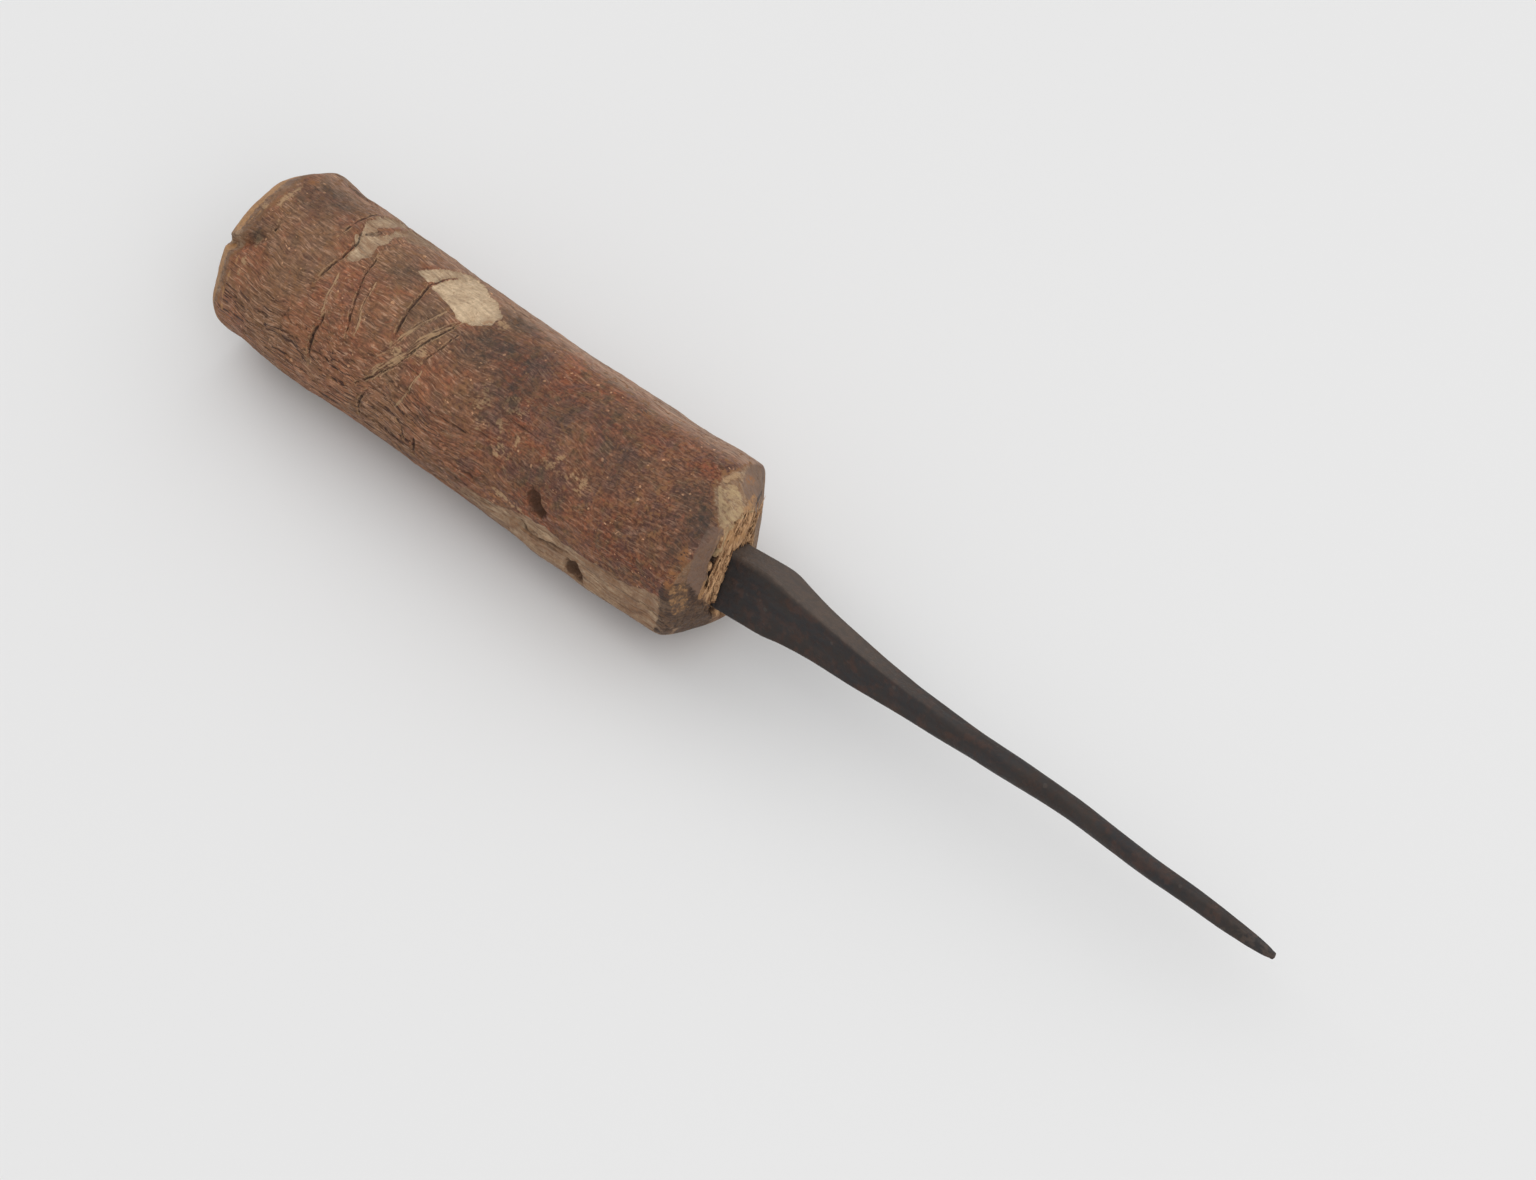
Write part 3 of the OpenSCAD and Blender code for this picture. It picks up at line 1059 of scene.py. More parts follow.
@dataclass
class Blade:
    """The forging: a tapered tang, a flat root that swells, a round shank and a blunt tip."""

    front_x: float
    tip_x: float
    axis_z: float = 14.4
    taper_len: float = 47.5
    root_w: float = 10.8
    root_t: float = 4.2
    shank_w: float = 4.3
    shank_t: float = 3.25
    tip_w: float = 1.15
    tip_t: float = 0.75
    lean: float = 25.0
    tang_len: float = 46.0
    tang_end_w: float = 2.6
    tang_end_t: float = 2.2
    tang_corner: float = 0.10
    tang_stations: int = 23
    station_gap: float = 0.5
    draw_start: float = 0.5
    tip_start: float = 0.975
    sides: int = 72
    corner_share: float = 0.4
    hammer_depth: float = 0.09
    hammer_size: float = 5.0
    tip_round: float = 0.3
    # length from the wood over which the top face gets its painted sheen
    top_sheen_length: float = 46.0
    tip_steps: Table = ((1.0, 1.0), (0.6, 0.93), (0.3, 0.8), (0.1, 0.6), (0.0, 0.4))
    taper_shares: Table = (
        (0.0, 1.0, 1.0, 0.1), (0.095, 0.99, 1.1, 0.1), (0.18, 0.95, 1.19, 0.1), (0.255, 0.82, 1.11, 0.12),
        (0.36, 0.7, 0.95, 0.14), (0.525, 0.57, 0.87, 0.16), (0.63, 0.51, 0.82, 0.2),
        (0.74, 0.46, 0.75, 0.28), (0.845, 0.45, 0.71, 0.45), (1.0, 0.4, 0.76, 0.85),
    )
    point_shares: Table = (
        (0.0, 1.0, 1.0, 0.85), (0.09, 1.0, 1.01, 0.9), (0.23, 0.885, 0.95, 0.9), (0.365, 0.815, 0.92, 0.9),
        (0.5, 0.79, 0.86, 0.9), (0.675, 0.72, 0.77, 0.8), (0.76, 0.685, 0.68, 0.7), (0.83, 0.64, 0.58, 0.6),
        (0.875, 0.58, 0.52, 0.55), (0.92, 0.515, 0.45, 0.5), (0.947, 0.45, 0.39, 0.45),
        (0.967, 0.385, 0.34, 0.4), (1.0, 0.24, 0.22, 0.4),
    )
    bend_shares: Table = (
        (0.0, -0.11, 0.094), (0.085, -0.043, 0.094), (0.17, -0.044, 0.06), (0.27, -0.054, 0.023),
        (0.395, -0.038, 0.011), (0.49, -0.009, 0.016), (0.565, 0.02, 0.021), (0.64, 0.037, 0.02),
        (0.73, 0.009, 0.005), (0.78, -0.004, -0.002), (0.85, 0.0, 0.0), (0.92, -0.01, -0.005),
        (1.0, -0.015, -0.008),
    )

    @property
    def length(self) -> float:
        """Length of the blade outside the wood."""
        return self.tip_x - self.front_x

    def middle(self, at: Array) -> Array:
        """Middle of the blade across the tool, as y and z, at a share of its length.

        Args:
            at: Shares of the blade's length.

        Returns:
            y and z at each share.
        """
        y = self.root_w * curve(self.bend_shares, at, 1)
        z = self.axis_z + self.root_w * curve(self.bend_shares, at, 2)
        return np.stack([y, z], axis=-1)

    def size(self, x: Array) -> Array:
        """Size of the blade outside the wood.

        Args:
            x: Distances from the wood's face.

        Returns:
            Width, thickness and roundness of the corners at each distance.
        """
        near = np.clip(x / self.taper_len, 0.0, 1.0)
        far = np.clip((x - self.taper_len) / (self.length - self.taper_len), 0.0, 1.0)
        draw = ease(self.draw_start, 1.0, near)
        point = ease(self.tip_start, 1.0, far)
        flat = np.where(x < self.taper_len, 1.0, 0.0)
        columns = []
        for column, root, shank, tip in (
            (1, self.root_w, self.shank_w, self.tip_w),
            (2, self.root_t, self.shank_t, self.tip_t),
        ):
            taper = root * curve(self.taper_shares, near, column)
            taper = taper + (shank - taper) * draw
            drawn = shank * curve(self.point_shares, far, column)
            drawn = drawn + (tip - drawn) * point
            columns.append(flat * taper + (1.0 - flat) * drawn)
        columns.append(
            flat * curve(self.taper_shares, near, 3) + (1.0 - flat) * curve(self.point_shares, far, 3)
        )
        return np.stack(columns, axis=-1)

    def tang_size(self, at: Array, room: float) -> tuple[Array, Array, Array]:
        """Size and middle of the tang at a share of the way from its end to the wood's face.

        Args:
            at: Shares from 0 at the tang's blunt end to 1 at the face.
            room: Clearance added all round.

        Returns:
            Width, thickness, and the middle as y and z.
        """
        width = self.tang_end_w + (self.root_w - self.tang_end_w) * at + 2.0 * room
        thick = self.tang_end_t + (self.root_t - self.tang_end_t) * at + 2.0 * room
        start = np.array([0.0, self.axis_z])
        middle = start + (self.middle(np.zeros(1))[0] - start) * np.asarray(at)[..., None]
        return width, thick, middle

    def spine(self) -> bpy.types.Object:
        """The middle line of the forging, with the size of its section at each station.

        Returns:
            A line mesh that carries half_width, half_thickness and roundness.
        """
        inner = np.linspace(0.0, 1.0, self.tang_stations + 1)[:-1]
        width, thick, middle = self.tang_size(inner, 0.0)
        x = self.front_x - (1.0 - inner) * self.tang_len
        tang = np.column_stack([x, middle, width / 2, thick / 2, np.full(len(x), self.tang_corner)])
        stations = np.arange(0.0, self.length - self.tip_round, self.station_gap)
        from_tip, closing = np.asarray(self.tip_steps).T
        distance = np.concatenate([stations, self.length - self.tip_round * from_tip])
        shrink = np.concatenate([np.ones(len(stations)), closing])
        size = self.size(distance)
        outside = np.column_stack(
            [
                self.front_x + distance,
                self.middle(distance / self.length),
                size[:, 0] / 2 * shrink,
                size[:, 1] / 2 * shrink,
                size[:, 2],
            ]
        )
        rows = np.concatenate([tang, outside])
        mesh = bpy.data.meshes.new("blade_spine")
        edges = [(i, i + 1) for i in range(len(rows) - 1)]
        mesh.from_pydata((rows[:, :3] * MM).tolist(), edges, [])
        carry(mesh, "half_width", rows[:, 3] * MM)
        carry(mesh, "half_thickness", rows[:, 4] * MM)
        carry(mesh, "roundness", rows[:, 5])
        spine = bpy.data.objects.new("forged_blade", mesh)
        bpy.context.scene.collection.objects.link(spine)
        return spine

    def section_radius(self, turn: Array, half_w: float, half_t: float) -> Array:
        """Distance from the middle of a leaned section to its outline.

        Args:
            turn: Turns in degrees.
            half_w: Half the section's width.
            half_t: Half the section's thickness.

        Returns:
            One distance a turn.
        """
        angle = np.radians(turn)
        lean = math.radians(self.lean)
        across = np.abs(np.cos(angle) * math.sin(lean) + np.sin(angle) * math.cos(lean))
        through = np.abs(-np.cos(angle) * math.cos(lean) + np.sin(angle) * math.sin(lean))
        return np.minimum(half_w / np.maximum(across, 1e-6), half_t / np.maximum(through, 1e-6))

    def outline_radius(self, turn: Array, room: float) -> Array:
        """Distance from the blade's middle to its outline at the wood's face, with room round it."""
        return self.section_radius(turn, self.root_w / 2 + room, self.root_t / 2 + room)

    def build(self, finish: bpy.types.Material) -> bpy.types.Object:
        """Builds the blade.

        Args:
            finish: The iron's material.

        Returns:
            The finished piece.
        """
        values = {
            "Sides": self.sides,
            "Lean": math.radians(self.lean),
            "Corner Share": self.corner_share,
            "Hammer Depth": self.hammer_depth * MM,
            "Hammer Size": self.hammer_size * MM,
            "Wood Face": self.front_x * MM,
            "Top Sheen Length": self.top_sheen_length * MM,
            "Finish": finish,
        }
        return SweepTree(values).run(self.spine())


class PieceTree:
    """A geometry tree with named inputs that makes one piece."""

    NAME = ""
    KINDS = {int: "Int", float: "Float", bpy.types.Material: "Material"}

    def __init__(self, values: dict[str, object]) -> None:
        """Builds the tree, which ends in real geometry that has its material.

        Args:
            values: The value of each input by its name, Finish among them.
        """
        self.tree = bpy.data.node_groups.new(self.NAME, "GeometryNodeTree")
        face = self.tree.interface
        face.new_socket("Start", in_out="INPUT", socket_type="NodeSocketGeometry")
        self.values = {}
        for name, value in values.items():
            kind = f"NodeSocket{self.KINDS[type(value)]}"
            socket = face.new_socket(name, in_out="INPUT", socket_type=kind)
            self.values[socket.identifier] = value
        face.new_socket("Piece", in_out="OUTPUT", socket_type="NodeSocketGeometry")
        self.graph = Graph(self.tree)
        self.node = self.graph.node
        self.entry = self.graph.add("NodeGroupInput")
        shape = self.node("GeometryNodeRealizeInstances", {0: self._shape()})
        shape = self.node("GeometryNodeSetShadeSmooth", {0: shape})
        feeds = {"Geometry": shape, "Material": self.value("Finish")}
        self.graph.add("NodeGroupOutput", {0: self.node("GeometryNodeSetMaterial", feeds)})

    def _shape(self) -> Wire:
        """Adds the nodes that shape the piece."""
        raise NotImplementedError

    def value(self, name: str) -> Wire:
        """One of the tree's inputs."""
        return self.graph.out(self.entry, name)

    def named(self, name: str, kind: str = "FLOAT") -> Wire:
        """A value that the geometry carries by name."""
        return self.node("GeometryNodeInputNamedAttribute", {"Name": name}, data_type=kind)

    def store(self, shape: Wire, name: str, value: object, kind: str = "FLOAT") -> Wire:
        """Carries a value on the geometry's points by name."""
        feeds = {"Geometry": shape, "Name": name, "Value": value}
        return self.node("GeometryNodeStoreNamedAttribute", feeds, data_type=kind)

    def run(self, piece: bpy.types.Object) -> bpy.types.Object:
        """Runs the tree on a piece and keeps the result as a plain mesh.

        Args:
            piece: The object that the tree starts from.

        Returns:
            The same object, with its new mesh and no modifier.
        """
        modifier = piece.modifiers.new("build", "NODES")
        modifier.node_group = self.tree
        for identifier, value in self.values.items():
            modifier[identifier] = value
        depsgraph = bpy.context.evaluated_depsgraph_get()
        depsgraph.update()
        mesh = bpy.data.meshes.new_from_object(piece.evaluated_get(depsgraph))
        piece.modifiers.remove(modifier)
        piece.data = mesh
        mesh.name = piece.name
        log.info("%s: %d points", piece.name, len(mesh.vertices))
        return piece


class SweepTree(PieceTree):
    """Geometry nodes that sweep a rounded square section along a spine and hammer it."""

    NAME = "Forged sweep"
    TOP_SHEEN_SHARE = 0.35
    CREST = (0.8, 0.97)
    FINE_DENTS = 4.0
    FINE_SHARE = 0.4

    def _shape(self) -> Wire:
        """Adds the nodes, from the spine to the hammered forging.

        Returns:
            The forging.
        """
        graph = self.graph
        path = self.node("GeometryNodeMeshToCurve", {0: self.value("Start")})
        path = self.store(path, "middle", self.node("GeometryNodeInputPosition"), "FLOAT_VECTOR")
        ring = self.node("GeometryNodeCurvePrimitiveCircle", {"Resolution": self.value("Sides")})
        ring = self.store(ring, "corner_step", self.node("GeometryNodeInputIndex"))
        feeds = {"Curve": path, "Profile Curve": ring, "Fill Caps": True}
        shape = self.node("GeometryNodeCurveToMesh", feeds)
        turn = self.named("corner_step") / (self.value("Sides") / 4.0)
        corner = graph.math("FLOOR", turn)
        bend, run = self._corner_parts(turn - corner)
        roundness = self.named("roundness")
        offsets = []
        for wave, half in (("COSINE", "half_width"), ("SINE", "half_thickness")):
            bent = graph.math(wave, (corner + bend) * (math.pi / 2))
            first = graph.math(wave, (corner + 0.5) * (math.pi / 2)) * math.sqrt(2.0)
            second = graph.math(wave, (corner + 1.5) * (math.pi / 2)) * math.sqrt(2.0)
            square = first + (second - first) * run
            offsets.append((square + (bent - square) * roundness) * self.named(half))
        sine = graph.math("SINE", self.value("Lean"))
        cosine = graph.math("COSINE", self.value("Lean"))
        side = offsets[0] * sine - offsets[1] * cosine
        up = offsets[0] * cosine + offsets[1] * sine
        middle = self.named("middle", "FLOAT_VECTOR")
        spot = graph.vector("ADD", middle, graph.joined(0.0, side, up))
        shape = self.node("GeometryNodeSetPosition", {"Geometry": shape, "Position": spot})
        wear = (1.0 - graph.math("ABSOLUTE", bend * 2.0 - 1.0)) * (1.0 - roundness)
        shape = self.store(shape, "corner_wear", wear)
        # the top side near the wood is stored as the mask of the painted sheen on the iron
        crest = graph.step(offsets[0] / self.named("half_width"), *self.CREST)
        from_wood = self.node("ShaderNodeSeparateXYZ", {0: middle}) - self.value("Wood Face")
        fade = self.value("Top Sheen Length")
        near = graph.step(from_wood, fade, fade * self.TOP_SHEEN_SHARE)
        return self._hammered(self.store(shape, "top_sheen", crest * near))

    def _corner_parts(self, part: Wire) -> tuple[Wire, Wire]:
        """How far round a corner a point is, and how far along the side that follows it.

        Args:
            part: Share of the way from one corner's start to the next.

        Returns:
            Both shares, from 0 to 1.
        """
        share = self.value("Corner Share")
        bend = self.graph.math("MINIMUM", part / share, 1.0)
        return bend, self.graph.math("MAXIMUM", (part - share) / (1.0 - share), 0.0)

    def _hammered(self, shape: Wire) -> Wire:
        """Sinks shallow hammer dents into the part outside the wood.

        Args:
            shape: The smooth forging.

        Returns:
            The dented forging.
        """
        graph = self.graph
        here = self.node("GeometryNodeInputPosition")
        size = self.value("Hammer Size")
        broad = graph.noise(here, graph.math("DIVIDE", 1.0, size), 1.0)
        fine = graph.noise(here, graph.math("DIVIDE", self.FINE_DENTS, size), 2.0)
        x = self.node("ShaderNodeSeparateXYZ", {0: here})
        outside = graph.math("GREATER_THAN", x, self.value("Wood Face"))
        depth = (broad + fine * self.FINE_SHARE) * self.value("Hammer Depth") * outside
        feeds = {0: self.node("GeometryNodeInputNormal"), "Scale": depth * -1.0}
        offset = self.node("ShaderNodeVectorMath", feeds, operation="SCALE")
        return self.node("GeometryNodeSetPosition", {"Geometry": shape, "Offset": offset})


@dataclass
class Skin:
    """The handle's surface while the fine marks are cut into it.

    The flat places are millimetres along and round the bark: `steady` for knife scores, and `wavy`
    for what follows the wood. `sink` is how deep each point goes in.
    """

    points: Array
    steady: Array
    wavy: Array
    sink: Array
    paint: dict[Paint, Array]

    def raise_paint(self, name: Paint, value: Array) -> None:
        """Raises a paint to a value wherever it is lower."""
        self.paint[name] = np.maximum(self.paint[name], value)


@dataclass
class Handle:
    """The branch: bark, knife cuts over both ends, a shaving, bare patches, pits and scores."""

    blade: Blade
    butt_x: float
    front_x: float
    branch_dia: float = 30.4
    rest_depth: float = 0.8
    waves: Relief = Relief(9.0, 2, height=0.30)
    ridges: Relief = Relief((6.0, 0.9, 0.9), 3, height=0.26)
    pores: Relief = Relief(1.1, 2, 30.0, 0.16)
    whittling: Relief = Relief(3.5, 2, 60.0, 0.25)
    rubbing: Relief = Relief(5.0, 2, 140.0)
    wandering: Relief = Relief(2.2, 3, 90.0)
    unevenness: Relief = Relief(1.4, 2, 170.0, 0.9)
    tearing: Relief = Relief((9.0, 0.85, 2.6), 2, 40.0)
    drifts: tuple[Relief, ...] = (Relief(3.0, 2), Relief(3.0, 2, 50.0))
    steady_drift: float = 0.5
    wavy_drift: float = 0.9
    torn_depth: float = 1.5
    torn_least: float = 0.12
    shave_depth: float = 1.1
    shave_turn: float = 175.0
    shave_start: float = 0.52
    shave_full: float = 0.70
    shave_reach: float = 0.5
    stray_turn: float = 29.0
    socket_room: float = 0.05
    socket_gap: float = 1.5
    edge_round: float = 0.5
    shave_round: float = 0.25
    score_widen: float = 0.9
    mark_ends: float = 0.18
    deep_crack: float = 0.22
    pit_floor: float = 0.6
    patch_edge: Span = (-0.12, 0.22)
    patch_tone_edge: Span = (-0.4, 0.1)
    patch_border: float = 1.5
    grained_turns: Span = (120.0, 165.0)
    grained_places: Span = (12.0, -4.0)
    # turns of the far upper edge, whose streaks are lightened as painted sheen
    far_sheen_turns: Span = (62.0, 40.0)
    tear_edge: Span = (0.44, 0.60)
    sound_edge: Span = (1.2, 2.6)
    bark_edge: Span = (0.3, 0.05)
    rub_edge: Span = (0.25, 0.6)
    cut_edge: Span = (0.5, 0.1)
    face_edge: Span = (0.45, 0.1)
    bark_thick: float = 0.12
    butt_tone: float = 0.3
    hit_steps: int = 14
    butt_pole: float = 0.8
    butt_sunk: float = 0.1
    shift_start: float = 30.0
    socket_shares: tuple[float, ...] = (0.98, 0.85, 0.5, 0.15, 0.0)
    butt_rings: int = 46
    butt_crowd: float = 1.25
    front_rings: int = 52
    butt_origin: float = -39.0
    front_origin: float = 41.0
    place_spacing: Table = (
        (-39, 0.35), (-36, 0.26), (-3, 0.26), (3, 0.48), (12, 0.48), (15, 0.36), (30, 0.36), (34, 0.50),
        (41, 0.36),
    )
    turn_spacing: Table = (
        (-90, 2.5), (8, 2.5), (22, 0.93), (212, 0.93), (226, 2.5), (270, 2.5),
    )
    notch_line: Table = (
        (-54.0, 132.0, 1.0), (-49.7, 132.0, 0.95), (-46.8, 129.0, 0.5), (-40.8, 109.0, 0.0),
    )
    branch_shares: Table = (
        (0.0, 1.026, 0.033), (0.025, 1.023, 0.042), (0.052, 1.01, 0.034), (0.082, 1.003, 0.012),
        (0.14, 1.013, 0.0), (0.2, 1.01, -0.003), (0.27, 0.994, 0.007), (0.34, 0.98, 0.005),
        (0.4, 0.983, 0.008), (0.55, 0.982, 0.003), (0.66, 1.0, 0.007), (0.7, 1.012, 0.0),
        (0.755, 1.007, 0.013), (0.805, 1.012, 0.011), (0.855, 1.013, 0.03), (0.9, 1.018, 0.046),
        (0.94, 1.012, 0.05), (1.0, 1.0, 0.046),
    )
    front_cuts: Table = (
        (50, 0.783, 1.73, 0.42, 0.5), (76, 0.88, 3.0, 0.3, 0.5), (162, 0.513, 0.27, 0.0, 1.2),
        (178, 0.66, 0.54, 0.1, 3.0), (215, 0.665, 0.6, 0.05, 4.0), (240, 0.54, 0.85, 0.2, 3.0),
        (280, 0.5, 0.9, 0.1, 1.0), (318, 0.42, 0.9, 0.3, 1.0), (356, 0.235, 0.67, 0.2, 1.0),
    )
    butt_cuts: Table = (
        (50, 0.868, 1.3, 0.0, 1.0), (88, 0.875, 1.36, 0.25, 2.0), (120, 0.87, 1.4, 0.2, 2.0),
        (156, 0.83, 1.25, 0.25, 1.6), (188, 0.925, 1.2, 0.0, 1.2), (228, 0.868, 1.2, 0.1, 1.0),
        (268, 0.829, 1.1, 0.05, 1.0), (310, 0.862, 1.2, 0.1, 1.0),
    )
    scores: tuple[Mark, ...] = (
        Mark(((-34.2, 45), (-33.8, 62), (-33.3, 81), (-33.3, 90)), 0.35, 0.2),
        Mark(((-32.6, 70), (-30.6, 83), (-29.9, 98), (-31.0, 121)), 0.45, 0.5),
        Mark(((-26.4, 78), (-24.9, 99), (-23.3, 117), (-21.2, 143)), 0.4, 0.45),
        Mark(((-15.2, 52), (-16.1, 78), (-14.9, 104), (-14.1, 127)), 0.45, 0.48),
        Mark(((-26.5, 131), (-27.1, 144), (-27.1, 156), (-26.8, 170)), 0.52, 0.64),
        Mark(((-42.6, 101), (-42.4, 106), (-42.1, 111)), 0.5, 0.5),
        Mark(((-6.0, 78), (-8.2, 104), (-11.8, 136), (-19.3, 171)), 0.38, 0.32),
        Mark(((-5.4, 92), (-6.2, 108), (-7.8, 124)), 0.32, 0.22),
        Mark(((-14.3, 156), (-15.5, 166), (-16.3, 176), (-16.2, 188)), 0.35, 0.3),
        Mark(((-8.4, 164), (-6.8, 168), (-6.5, 182)), 0.32, 0.28),
        Mark(((-4.4, 168), (-4.6, 180), (-5.0, 190)), 0.5, 0.5),
        Mark(((-22.0, 235), (-20.5, 252)), 0.5, 0.4),
        Mark(((12.0, -30), (13.5, -8)), 0.5, 0.35),
        Mark(((30.0, 236), (29.0, 258)), 0.5, 0.4),
    )
    scrapes: tuple[Mark, ...] = (
        Mark(((-6.4, 84), (-9.4, 110), (-12.6, 136), (-15.6, 154)), 1.15, 0.1),
        Mark(((-10.2, 88), (-12.6, 112), (-15.4, 138)), 0.55, 0.06),
        Mark(((-6.8, 127), (-7.5, 140), (-8.8, 158)), 0.4, 0.08),
        Mark(((-22.6, 96), (-21.4, 120), (-20.4, 134)), 0.35, 0.05),
        Mark(((-28.6, 108), (-27.6, 122), (-27.2, 134)), 0.4, 0.05),
    )
    pits: tuple[Mark, ...] = (
        Mark(((19.5, 147), (20.3, 153), (21.0, 159), (21.6, 166)), 1.9, 1.7),
        Mark(((27.2, 187), (28.0, 190), (28.8, 194), (29.6, 197)), 2.1, 1.8),
        Mark(((14.9, 187), (18.9, 182), (22.9, 178), (26.1, 175)), 1.5, 0.5),
        Mark(((-44.3, 35), (-41.3, 41), (-37.7, 40), (-35.6, 35)), 0.8, 0.6),
    )
    cracks: tuple[Mark, ...] = (
        Mark(((15.5, 184), (17.0, 183), (18.6, 187), (21.0, 188), (27.1, 180)), 0.4, 0.9),
        Mark(((41.4, 180), (43.0, 181), (45.5, 183)), 0.35, 0.6),
        Mark(((-4.7, 146), (1.6, 145), (6.3, 143)), 0.28, 0.25),
    )
    patches: tuple[Patch, ...] = (
        Patch(
            ((-29.4, 97), (-31.2, 79), (-33.0, 60), (-33.2, 30), (-30.8, 20), (-30.0, 40), (-29.6, 56))
            + ((-30.8, 68), (-29.2, 74), (-28.6, 58), (-27.4, 50), (-26.8, 72), (-27.2, 88)),
            0.3, 0.6, 3.2,
        ),
        Patch(((-28.6, 50), (-29.4, 34), (-24.0, 30), (-22.6, 42), (-25.4, 62)), 0.22, 0.35),
        Patch(
            ((-19.6, 77), (-19.0, 68), (-17.6, 58), (-15.8, 46), (-14.2, 36), (-14.4, 48))
            + ((-15.6, 64), (-16.4, 80)),
            0.28, 0.78,
        ),
        Patch(
            ((-15.8, 81), (-15.4, 64), (-14.2, 46), (-13.4, 36), (-12.2, 44), (-9.4, 51), (-6.4, 56))
            + ((-3.6, 66), (-3.3, 77), (-5.2, 86), (-7.2, 88), (-8.6, 88), (-10.4, 83), (-13.4, 81)),
            0.42, 0.95, 1.8,
        ),
        Patch(
            ((15.1, 184), (18.6, 175), (22.6, 171), (25.4, 173), (26.0, 180), (22.0, 186), (18.2, 187)),
            0.1, 0.55,
        ),
        Patch(
            ((7.0, 182), (11.3, 180), (14.4, 178), (19.4, 173), (22.7, 170), (24.7, 176), (28.9, 173))
            + ((33.0, 172), (38.9, 170), (42.9, 166), (48.0, 160), (50.5, 200), (50.5, 230), (40.0, 226))
            + ((27.0, 222), (18.0, 213), (13.0, 205), (5.0, 195)),
            0.06, 0.28,
        ),
        Patch(((-36.0, 238), (-30.0, 246), (-24.0, 240), (-27.0, 226), (-33.0, 228)), 0.35, 0.6),
        Patch(((4.0, -22), (12.0, -12), (17.0, -24), (10.0, -38)), 0.35, 0.5),
    )
    soot: tuple[Spot, ...] = (
        Spot(0.5, 88, 7, 5.4, 0.8), Spot(-1.5, 98, 6, 4.4, 0.85), Spot(5.5, 80, 6, 4, 0.75),
        Spot(7, 100, 7, 5.4, 0.8), Spot(8, 116, 6, 4.5, 0.65), Spot(-0.5, 60, 5, 3, 0.9),
        Spot(16, 96, 9, 6, 0.5), Spot(28, 105, 7, 6, 0.55), Spot(45.8, 122, 3, 5, 0.7),
        Spot(43.5, 98, 4, 5, 0.6), Spot(-41, 37, 4, 2, 0.7), Spot(-44.5, 118, 2, 2, 0.8),
        Spot(24, 84, 8, 5.5, 0.5), Spot(20, 140, 7, 4, 0.5), Spot(-40, 70, 8, 6.5, 0.68),
        Spot(-45.5, 112, 3, 4.5, 0.35), Spot(-20, 84, 4, 3, 0.6), Spot(46, 106, 3, 6, 0.9),
        Spot(-13, 100, 5, 4, 0.4),
    )
    pale: tuple[Spot, ...] = (
        Spot(6.3, 134, 2, 1.8, 0.6), Spot(11.3, 139, 2.8, 2.2, 0.55), Spot(4.9, 120, 3, 3.4, 0.42),
        Spot(10.2, 113.2, 3.2, 2.8, 0.42), Spot(21, 124.3, 3.6, 2.8, 0.42), Spot(25.8, 127.4, 3, 2.6, 0.46),
        Spot(9.5, 126, 1.4, 2, 0.6), Spot(13.5, 128, 1.4, 2, 0.5), Spot(-2.4, 72, 1.8, 1.4, 0.8),
        Spot(3.8, 112, 1.4, 1.6, 0.55), Spot(-9, 118, 1.6, 1.4, 0.8), Spot(-12.5, 127, 1.8, 1.2, 0.8),
        Spot(-44.6, 86, 0.8, 3.6, 0.9), Spot(-46.6, 100, 0.8, 1.6, 0.7), Spot(-44, 120, 1.2, 1.6, 0.7),
        Spot(-44, 138, 0.8, 2.8, 0.6), Spot(14, 168, 2.6, 1.2, 0.8), Spot(17, 171, 2, 1, 0.7),
        Spot(43.9, 72, 0.7, 3.6, 0.8),
    )
    worn: tuple[Spot, ...] = (
        Spot(-1.6, 62, 2, 1, 0.9), Spot(-3.8, 78, 1.2, 1.6, 0.7), Spot(46.9, 128, 1.1, 2.6, 1),
        Spot(46.7, 144, 1, 2.6, 0.9), Spot(45, 56, 0.8, 1.6, 0.8), Spot(-44.8, 66, 0.8, 2, 0.8),
        Spot(12, 172, 3, 0.9, 0.6), Spot(-47, 164, 0.8, 4, 0.5), Spot(26, 66, 1.4, 0.9, 0.5),
    )
    grey_stains: tuple[Stain, ...] = (
        Stain(((47.0, 60, 13.8), (45.5, 50, 14.4), (43.8, 34, 14.2)), 2.6, 1.0),
        Stain(((49.4, 109, 14.4), (49.1, 121, 13.3), (49.1, 134, 11.6), (49.3, 149, 9.8)), 2.1, 1.0),
        Stain(((-47.2, 52, 14.8), (-47.0, 78, 14.8)), 0.9, 0.8),
    )
    cream_stains_and_highlights: tuple[Stain, ...] = (
        Stain(((48.8, 95, 13.8), (47.6, 84, 14.0), (45.8, 78, 14.8)), 2.0, 0.62),
        # thin cream lines along the ridges of the front cuts: painted highlights
        Stain(((49.4, 98, 13.7), (49.6, 84, 13.2), (49.6, 70, 13.0)), 0.35, 1.0),
        Stain(((44.0, 80, 15.3), (46.4, 90, 15.0), (48.7, 101, 14.4)), 0.30, 0.9),
        Stain(((49.7, 101, 12.8), (49.7, 106, 11.0), (49.8, 120, 9.4), (49.7, 144, 8.5)), 0.36, 1.0),
        Stain(((47.8, 148, 14.7), (48.2, 157, 13.6)), 0.30, 0.9),
        Stain(((-49.5, 56, 12.9), (-49.5, 90, 13.0), (-49.5, 118, 13.0)), 0.7, 0.9),
        Stain(((-49.5, 140, 12.8), (-49.5, 165, 12.4), (-49.4, 196, 13.2)), 0.7, 0.9),
    )
